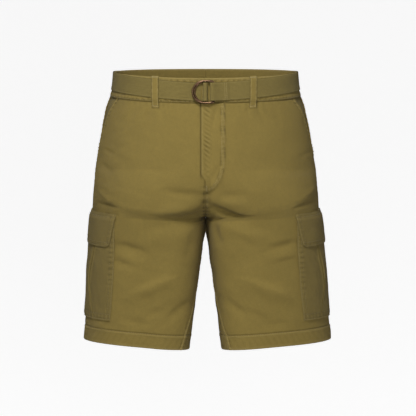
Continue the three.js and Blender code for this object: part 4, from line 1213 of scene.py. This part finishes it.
def weave_belt(name, path):
    """path is g and lift of the strap's middle layer."""
    drop_ = -np.array([0, 0.8, 1.8, 3, 5.5, 8.5, 12, 16.5, 21, 24.5, 27.5, 30, 31.2, 32.2, 33])
    g, d = np.meshgrid(path[:, 0], drop_)
    lift = np.broadcast_to(path[:, 1], g.shape)
    edge = np.minimum(-d, d + BELT_WIDTH)
    middle = belt_point(g, d, lift + 0.18 * np.sin(g * 37) * (1 - edge / 17))
    along = unit(np.gradient(middle, axis=1))
    away = unit(np.cross(along, np.array([0, 0, 1.0])) * np.array([1, 1, 0]))
    points = middle + away * (BELT_THICK / 2 - 0.3 * np.exp(-((edge / 0.9) ** 2)))[..., None]
    # Painted shade: a dark line along both edges of the webbing; just inside them it is paler, as worn cloth.
    wear_and_painted_light = 0.5 * np.exp(-(((edge - 1.4) / 0.8) ** 2)) - 0.8 * np.exp(-((edge / 0.7) ** 2))
    return lay_cloth(name, points, away, BELT_THICK, wear_and_painted_light), points, away


# %% Lay the belt and its tongue
folded = smooth_path(FOLDED_END, 0.8)
free = smooth_path(FREE_END, 2.5)
start = np.stack([belt_place(folded[:, 0]), folded[:, 1]], -1)
end = np.stack([4 + belt_place(free[:, 0]), free[:, 1]], -1)
round_g = np.linspace(start[-1, 0], end[0, 0], 260)[1:-1]
slack = BELT_LIFT + 0.5 * np.sin(round_g * 5.3) ** 2 * ease(start[-1, 0], start[-1, 0] + 0.15, round_g)
round_part = np.stack([round_g, slack], -1)
CLOTH["belt_strap"], strap_points, strap_out = weave_belt("webbing_strap", np.concatenate([start, round_part, end]))
tongue = smooth_path(TONGUE, 0.6)
CLOTH["belt_tongue"], _, _ = weave_belt("webbing_tongue", np.stack([belt_place(tongue[:, 0]), tongue[:, 1]], -1))
sewn_down = int(np.argmin(np.abs(folded[:, 0] - 34) + (folded[:, 1] < 3)))
SEAMS["belt_strap"] = [seam_row(strap_points[1:-1, sewn_down + k], strap_out[1:-1, sewn_down + k]) for k in (0, 4)]

# %% [markdown]
# ## D-rings
# The two rings are bent from round wire and brazed shut. Their solids already have the right shape but
# only a few faces round the wire, so a copy of each is merged and subdivided until it is round.

# %% Smooth the rings
def smooth_ring(node):
    source = frame["nodes"][node]
    bpy.ops.object.select_all(action="DESELECT")
    ring = source.copy()
    ring.data = source.data.copy()
    ring.name = ring.data.name = "wire_" + node
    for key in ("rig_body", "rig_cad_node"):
        if key in ring:
            del ring[key]
    bpy.context.scene.collection.objects.link(ring)
    bpy.context.view_layer.objects.active = ring
    ring.select_set(True)
    bpy.ops.object.mode_set(mode="EDIT")
    bpy.ops.mesh.select_all(action="SELECT")
    bpy.ops.mesh.remove_doubles(threshold=0.00001)
    bpy.ops.object.mode_set(mode="OBJECT")
    finer = ring.modifiers.new("finer", "SUBSURF")
    finer.levels = finer.render_levels = 2
    bpy.ops.object.modifier_apply(modifier="finer")
    bpy.ops.object.shade_smooth()
    print(ring.name, len(ring.data.polygons), "faces")
    return ring


RINGS = {node: smooth_ring(node) for node in ("d_ring_back", "d_ring_front")}

# %% [markdown]
# ## Zip
# Behind the lapped fly lies a closed zip. Nothing of it shows from outside; inside it is a woven tape
# with a row of small teeth, each modelled once and repeated down the tape.

# %% Tape and teeth
def add_zip():
    bottom = float(row_at(0.0, -172.0))
    r = np.linspace(1 + 1.5 / BAND_HEIGHT, bottom, 60)
    x = np.linspace(-17, 17, 19)
    xx, rr = np.meshgrid(x, r)
    s = across(1, rr, xx)
    points = lifted(1, s, rr, np.full_like(s, -2.3))
    out = outward_of(points, 1, s, rr)
    tape = lay_cloth("zip_tape_cloth", points, out, 0.7)
    middle, inside = points[:, 9], out[:, 9]
    teeth = []
    for off in (-1, 1):
        line = middle - inside * 0.9 + np.array([off * 1.1, 0, off * 0.75])
        centre, way, away = seam_row(line, -inside, 1.5)
        teeth.append((centre, unit(np.cross(way, away)), away))
    return tape, sew("zip_teeth", teeth)


CLOTH["fly_zip"], zip_teeth = add_zip()

# %% [markdown]
# ## Finishes
# Effects that several finishes share are node groups with named sockets: the slanted lines of a twill,
# the ribs of webbing, and the way washed cloth varies in colour and pales on its worn edges, with painted
# highlight on raised seams and painted shade in furrows and gaps. The shader itself stays in each material.

# %% Node helpers
def new_group(name, inputs, outputs):
    group = bpy.data.node_groups.new(name, "ShaderNodeTree")
    for label, kind, value in inputs:
        socket = group.interface.new_socket(label, in_out="INPUT", socket_type=kind)
        if value is not None:
            socket.default_value = value
    for label, kind in outputs:
        group.interface.new_socket(label, in_out="OUTPUT", socket_type=kind)
    start = group.nodes.new("NodeGroupInput")
    end = group.nodes.new("NodeGroupOutput")
    return group, start, end


def join(tree, source, target):
    tree.links.new(source, target)


def math_node(tree, operation, first, second=None, third=None):
    node = tree.nodes.new("ShaderNodeMath")
    node.operation = operation
    for socket, value in zip(node.inputs, (first, second, third)):
        if value is None:
            continue
        if isinstance(value, (int, float)):
            socket.default_value = value
        else:
            join(tree, value, socket)
    return node.outputs[0]


def noise_node(tree, vector, scale, detail=2.0, roughness=0.5):
    node = tree.nodes.new("ShaderNodeTexNoise")
    node.inputs["Scale"].default_value = scale
    node.inputs["Detail"].default_value = detail
    node.inputs["Roughness"].default_value = roughness
    join(tree, vector, node.inputs["Vector"])
    return node.outputs["Fac"]


def mix_colours(tree, factor, first, second):
    node = tree.nodes.new("ShaderNodeMix")
    node.data_type = "RGBA"
    for socket, value in ((node.inputs["Factor"], factor), (node.inputs[6], first), (node.inputs[7], second)):
        if isinstance(value, (int, float, tuple)):
            socket.default_value = value
        else:
            join(tree, value, socket)
    return node.outputs[2]


def bump_node(tree, height_, distance, strength=1.0, below=None):
    node = tree.nodes.new("ShaderNodeBump")
    node.inputs["Strength"].default_value = strength
    node.inputs["Distance"].default_value = distance
    join(tree, height_, node.inputs["Height"])
    if below is not None:
        join(tree, below, node.inputs["Normal"])
    return node.outputs["Normal"]


# %% Twill lines, webbing ribs and washed colour
def make_twill_group():
    """Diagonal ribs of a twill: threads cross the cloth's length at about 63 degrees."""
    inputs = [("Cloth", "NodeSocketVector", None), ("Pitch", "NodeSocketFloat", 0.0009)]
    group, start, end = new_group("twill_lines", inputs, [("Height", "NodeSocketFloat")])
    parts = group.nodes.new("ShaderNodeSeparateXYZ")
    join(group, start.outputs["Cloth"], parts.inputs[0])
    slant = math_node(group, "ADD", math_node(group, "MULTIPLY", parts.outputs[0], 0.89),
                      math_node(group, "MULTIPLY", parts.outputs[1], 0.45))
    slubs = math_node(group, "MULTIPLY", noise_node(group, start.outputs["Cloth"], 420.0), 0.0011)
    turns = math_node(group, "DIVIDE", math_node(group, "ADD", slant, slubs), start.outputs["Pitch"])
    wave = math_node(group, "SINE", math_node(group, "MULTIPLY", turns, 2 * pi))
    ribs = math_node(group, "MULTIPLY_ADD", wave, 0.5, 0.5)
    yarn = math_node(group, "MULTIPLY", noise_node(group, start.outputs["Cloth"], 1900.0, 1.0), 0.6)
    join(group, math_node(group, "ADD", ribs, yarn), end.inputs["Height"])
    return group


def make_webbing_group():
    """Ribs along the strap crossed by finer picks, in steps like a herringbone."""
    inputs = [("Cloth", "NodeSocketVector", None)]
    group, start, end = new_group("webbing_ribs", inputs, [("Height", "NodeSocketFloat")])
    parts = group.nodes.new("ShaderNodeSeparateXYZ")
    join(group, start.outputs["Cloth"], parts.inputs[0])
    ribs = math_node(group, "SINE", math_node(group, "MULTIPLY", parts.outputs[1], 2 * pi / 0.0022))
    shift = math_node(group, "MULTIPLY", math_node(group, "PINGPONG", parts.outputs[1], 0.0022), 1.0)
    stepped = math_node(group, "ADD", parts.outputs[0], shift)
    picks = math_node(group, "SINE", math_node(group, "MULTIPLY", stepped, 2 * pi / 0.0013))
    both = math_node(group, "MULTIPLY_ADD", ribs, 0.5, math_node(group, "MULTIPLY", picks, 0.4))
    join(group, both, end.inputs["Height"])
    return group


def make_washed_and_painted_light_group():
    """Colour that drifts slowly and mottles finely; wear above zero pales it, as worn cloth and painted highlight,
    and below zero is painted shade that darkens it.
    """
    group, start, end = new_group(
        "washed_colour_and_painted_light",
        [("Place", "NodeSocketVector", None), ("Colour", "NodeSocketColor", (0.2, 0.15, 0.05, 1)),
         ("Pale", "NodeSocketColor", (0.3, 0.24, 0.1, 1)), ("Wear and painted light", "NodeSocketFloat", 0.0),
         ("Thread", "NodeSocketFloat", 0.5)],
        [("Colour", "NodeSocketColor"), ("Roughness", "NodeSocketFloat")])
    place = start.outputs["Place"]
    slow = noise_node(group, place, 9.0, 3.0, 0.6)
    fine = noise_node(group, place, 150.0, 3.0, 0.65)
    tone = math_node(group, "MULTIPLY_ADD", math_node(group, "SUBTRACT", slow, 0.5), 0.22, 1.0)
    grain = noise_node(group, place, 520.0, 2.0, 0.7)
    tone = math_node(group, "MULTIPLY_ADD", math_node(group, "SUBTRACT", fine, 0.5), 0.2, tone)
    tone = math_node(group, "MULTIPLY_ADD", math_node(group, "SUBTRACT", grain, 0.5), 0.25, tone)
    tone = math_node(group, "MULTIPLY_ADD", math_node(group, "SUBTRACT", start.outputs["Thread"], 0.7), 0.1, tone)
    toned = group.nodes.new("ShaderNodeVectorMath")
    toned.operation = "SCALE"
    join(group, start.outputs["Colour"], toned.inputs[0])
    join(group, tone, toned.inputs["Scale"])
    patchy = math_node(group, "MULTIPLY", start.outputs["Wear and painted light"], math_node(group, "MULTIPLY_ADD", fine, 1.1, -0.05))
    pale = math_node(group, "MAXIMUM", math_node(group, "MINIMUM", patchy, 1.0), 0.0)
    tint = mix_colours(group, pale, toned.outputs[0], start.outputs["Pale"])
    # Painted shade: below zero the colour is darkened, for furrows, gaps and recesses.
    painted_shade = math_node(group, "MAXIMUM", math_node(group, "MULTIPLY", start.outputs["Wear and painted light"], -0.6), 0.0)
    deep = group.nodes.new("ShaderNodeVectorMath")
    deep.operation = "SCALE"
    join(group, tint, deep.inputs[0])
    join(group, math_node(group, "SUBTRACT", 1.0, math_node(group, "MINIMUM", painted_shade, 0.6)), deep.inputs["Scale"])
    join(group, deep.outputs[0], end.inputs["Colour"])
    join(group, math_node(group, "MULTIPLY_ADD", fine, 0.14, 0.8), end.inputs["Roughness"])
    return group


TWILL = make_twill_group()
WEBBING = make_webbing_group()
WASHED_AND_PAINTED_LIGHT = make_washed_and_painted_light_group()
print("groups", [group.name for group in bpy.data.node_groups])


# %% [markdown]
# ### Cloth finishes
# The olive cotton is matt and slightly fuzzy, so each cloth finish has a little sheen and a high
# roughness. The belt and the zip get their own tones; the pockets and the pocket facings are darker copies
# of the olive twill, painted shade for the dimmer light on the sides of the legs and inside the slant openings.

# %% Mix the cloth finishes
def sheet_finish(name, colour, pale, weave, depth, sheen=0.04, pitch=0.0009):
    finish = bpy.data.materials.new(name)
    finish.use_nodes = True
    tree = finish.node_tree
    shader = tree.nodes["Principled BSDF"]
    shader.inputs["Sheen Weight"].default_value = sheen
    shader.inputs["Sheen Roughness"].default_value = 0.45
    shader.inputs["Specular IOR Level"].default_value = 0.25
    places = tree.nodes.new("ShaderNodeTexCoord")
    lines = tree.nodes.new("ShaderNodeGroup")
    lines.node_tree = weave
    join(tree, places.outputs["UV"], lines.inputs["Cloth"])
    if "Pitch" in lines.inputs:
        lines.inputs["Pitch"].default_value = pitch
    # The per-point tint: above zero paler as worn cloth and painted highlight, below zero painted shade.
    tint = tree.nodes.new("ShaderNodeAttribute")
    tint.attribute_name = "wear_and_painted_light"
    washed_and_painted_light = tree.nodes.new("ShaderNodeGroup")
    washed_and_painted_light.node_tree = WASHED_AND_PAINTED_LIGHT
    washed_and_painted_light.inputs["Colour"].default_value = (*colour, 1)
    washed_and_painted_light.inputs["Pale"].default_value = (*pale, 1)
    join(tree, places.outputs["Object"], washed_and_painted_light.inputs["Place"])
    join(tree, tint.outputs["Fac"], washed_and_painted_light.inputs["Wear and painted light"])
    join(tree, lines.outputs["Height"], washed_and_painted_light.inputs["Thread"])
    join(tree, washed_and_painted_light.outputs["Colour"], shader.inputs["Base Color"])
    join(tree, washed_and_painted_light.outputs["Roughness"], shader.inputs["Roughness"])
    crumple = bump_node(tree, noise_node(tree, places.outputs["Object"], 95.0, 3.0, 0.6), 0.0012, 0.5)
    join(tree, bump_node(tree, lines.outputs["Height"], depth, 0.8, crumple), shader.inputs["Normal"])
    return finish


def thread_finish(name, colour):
    finish = bpy.data.materials.new(name)
    finish.use_nodes = True
    tree = finish.node_tree
    shader = tree.nodes["Principled BSDF"]
    shader.inputs["Roughness"].default_value = 0.75
    shader.inputs["Sheen Weight"].default_value = 0.15
    places = tree.nodes.new("ShaderNodeTexCoord")
    twist = noise_node(tree, places.outputs["Object"], 900.0, 1.0)
    shade = mix_colours(tree, twist, tuple(0.75 * c for c in colour) + (1,), tuple(1.2 * c for c in colour) + (1,))
    join(tree, shade, shader.inputs["Base Color"])
    join(tree, bump_node(tree, twist, 0.0002), shader.inputs["Normal"])
    return finish


OLIVE = (0.238, 0.173, 0.043)
OLIVE_PALE = (0.33, 0.26, 0.095)
twill = sheet_finish("olive_twill", OLIVE, OLIVE_PALE, TWILL, 0.00035)
# Painted shade: the pocket and facing finishes are darker copies of the olive twill.
pocket_twill = sheet_finish("pocket_twill", (0.2, 0.148, 0.041), (0.3, 0.235, 0.085), TWILL, 0.00035)
facing_twill_shaded = sheet_finish("facing_twill_shaded", (0.2, 0.15, 0.042), OLIVE_PALE, TWILL, 0.00035)
webbing = sheet_finish("olive_webbing", (0.2, 0.152, 0.043), (0.29, 0.23, 0.085), WEBBING, 0.0004, 0.04)
zip_cloth = sheet_finish("zip_cloth", (0.12, 0.095, 0.035), (0.2, 0.16, 0.07), TWILL, 0.0002, 0.04, 0.0006)
thread = thread_finish("olive_thread", (0.31, 0.24, 0.085))


# %% [markdown]
# ### Metal
# The rings are plated with antique bronze: a dark brown coat, rubbed brighter in patches.

# %% Mix the metal
def metal_finish(name, dark, bright, roughness):
    finish = bpy.data.materials.new(name)
    finish.use_nodes = True
    tree = finish.node_tree
    shader = tree.nodes["Principled BSDF"]
    shader.inputs["Metallic"].default_value = 0.9
    places = tree.nodes.new("ShaderNodeTexCoord")
    rubbed = noise_node(tree, places.outputs["Object"], 130.0, 4.0, 0.7)
    scratched = noise_node(tree, places.outputs["Object"], 900.0, 2.0)
    both = math_node(tree, "MULTIPLY_ADD", scratched, 0.4, math_node(tree, "MULTIPLY", rubbed, 0.8))
    join(tree, mix_colours(tree, both, (*dark, 1), (*bright, 1)), shader.inputs["Base Color"])
    join(tree, math_node(tree, "MULTIPLY_ADD", both, -0.12, roughness + 0.08), shader.inputs["Roughness"])
    join(tree, bump_node(tree, scratched, 0.00008, 0.6), shader.inputs["Normal"])
    return finish


bronze = metal_finish("antique_bronze", (0.035, 0.018, 0.01), (0.2, 0.115, 0.062), 0.3)
teeth_metal = metal_finish("zip_teeth_metal", (0.1, 0.07, 0.04), (0.4, 0.3, 0.18), 0.3)

# %% [markdown]
# ## Dress the frame
# Each piece gets its finish, rides on the body, and hides the CAD solid that it replaces. A table lists
# the size that each sheet was cut to while flat, and what carries it.

# %% Flat cuts and what carries each piece
# width and length of the cut in metres, its flat area in square metres, how it is held, what carries it
CUTS = {
    "front": (0.35, 0.52, 0.132, "hung", ["waistband_{word}", "back_{word}"]),
    "back": (0.41, 0.54, 0.174, "hung", ["waistband_{word}", "front_{word}"]),
    "pocket_facing": (0.07, 0.139, 0.0052, "hung", ["waistband_{word}", "front_{word}"]),
    "waistband": (0.505, 0.093, 0.045, "hung", ["front_{word}", "back_{word}"]),
    "cargo_pocket": (0.14, 0.198, 0.0256, "laid", ["front_{word}", "back_{word}"]),
    "cargo_flap": (0.14, 0.064, 0.0081, "laid", ["cargo_pocket_{word}", "front_{word}", "back_{word}"]),
}


def dress(piece, node, finish):
    piece.data.materials.clear()
    piece.data.materials.append(finish)
    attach(piece, "root")
    if node:
        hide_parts(node)


def dress_cloth():
    for kind, (width, length, area, held, carriers) in CUTS.items():
        for word in SIDES:
            node = f"{kind}_{word}"
            on_pocket = kind.startswith("cargo")
            finish = pocket_twill if on_pocket else facing_twill_shaded if kind == "pocket_facing" else twill
            dress(CLOTH[node], node, finish)
    for node in LOOPS:
        dress(CLOTH[node], node, twill)


def dress_belt():
    dress(CLOTH["belt_strap"], "belt_strap", webbing)
    dress(CLOTH["belt_tongue"], "belt_tongue", webbing)
    for node, ring in RINGS.items():
        dress(ring, node, bronze)
    dress(CLOTH["fly_zip"], "fly_zip", zip_cloth)
    dress(zip_teeth, None, teeth_metal)


def dress_stitches():
    for node, rows in SEAMS.items():
        dress(sew("stitches_" + node, rows), None, thread)


# %% Put it together
dress_cloth()
dress_belt()
dress_stitches()
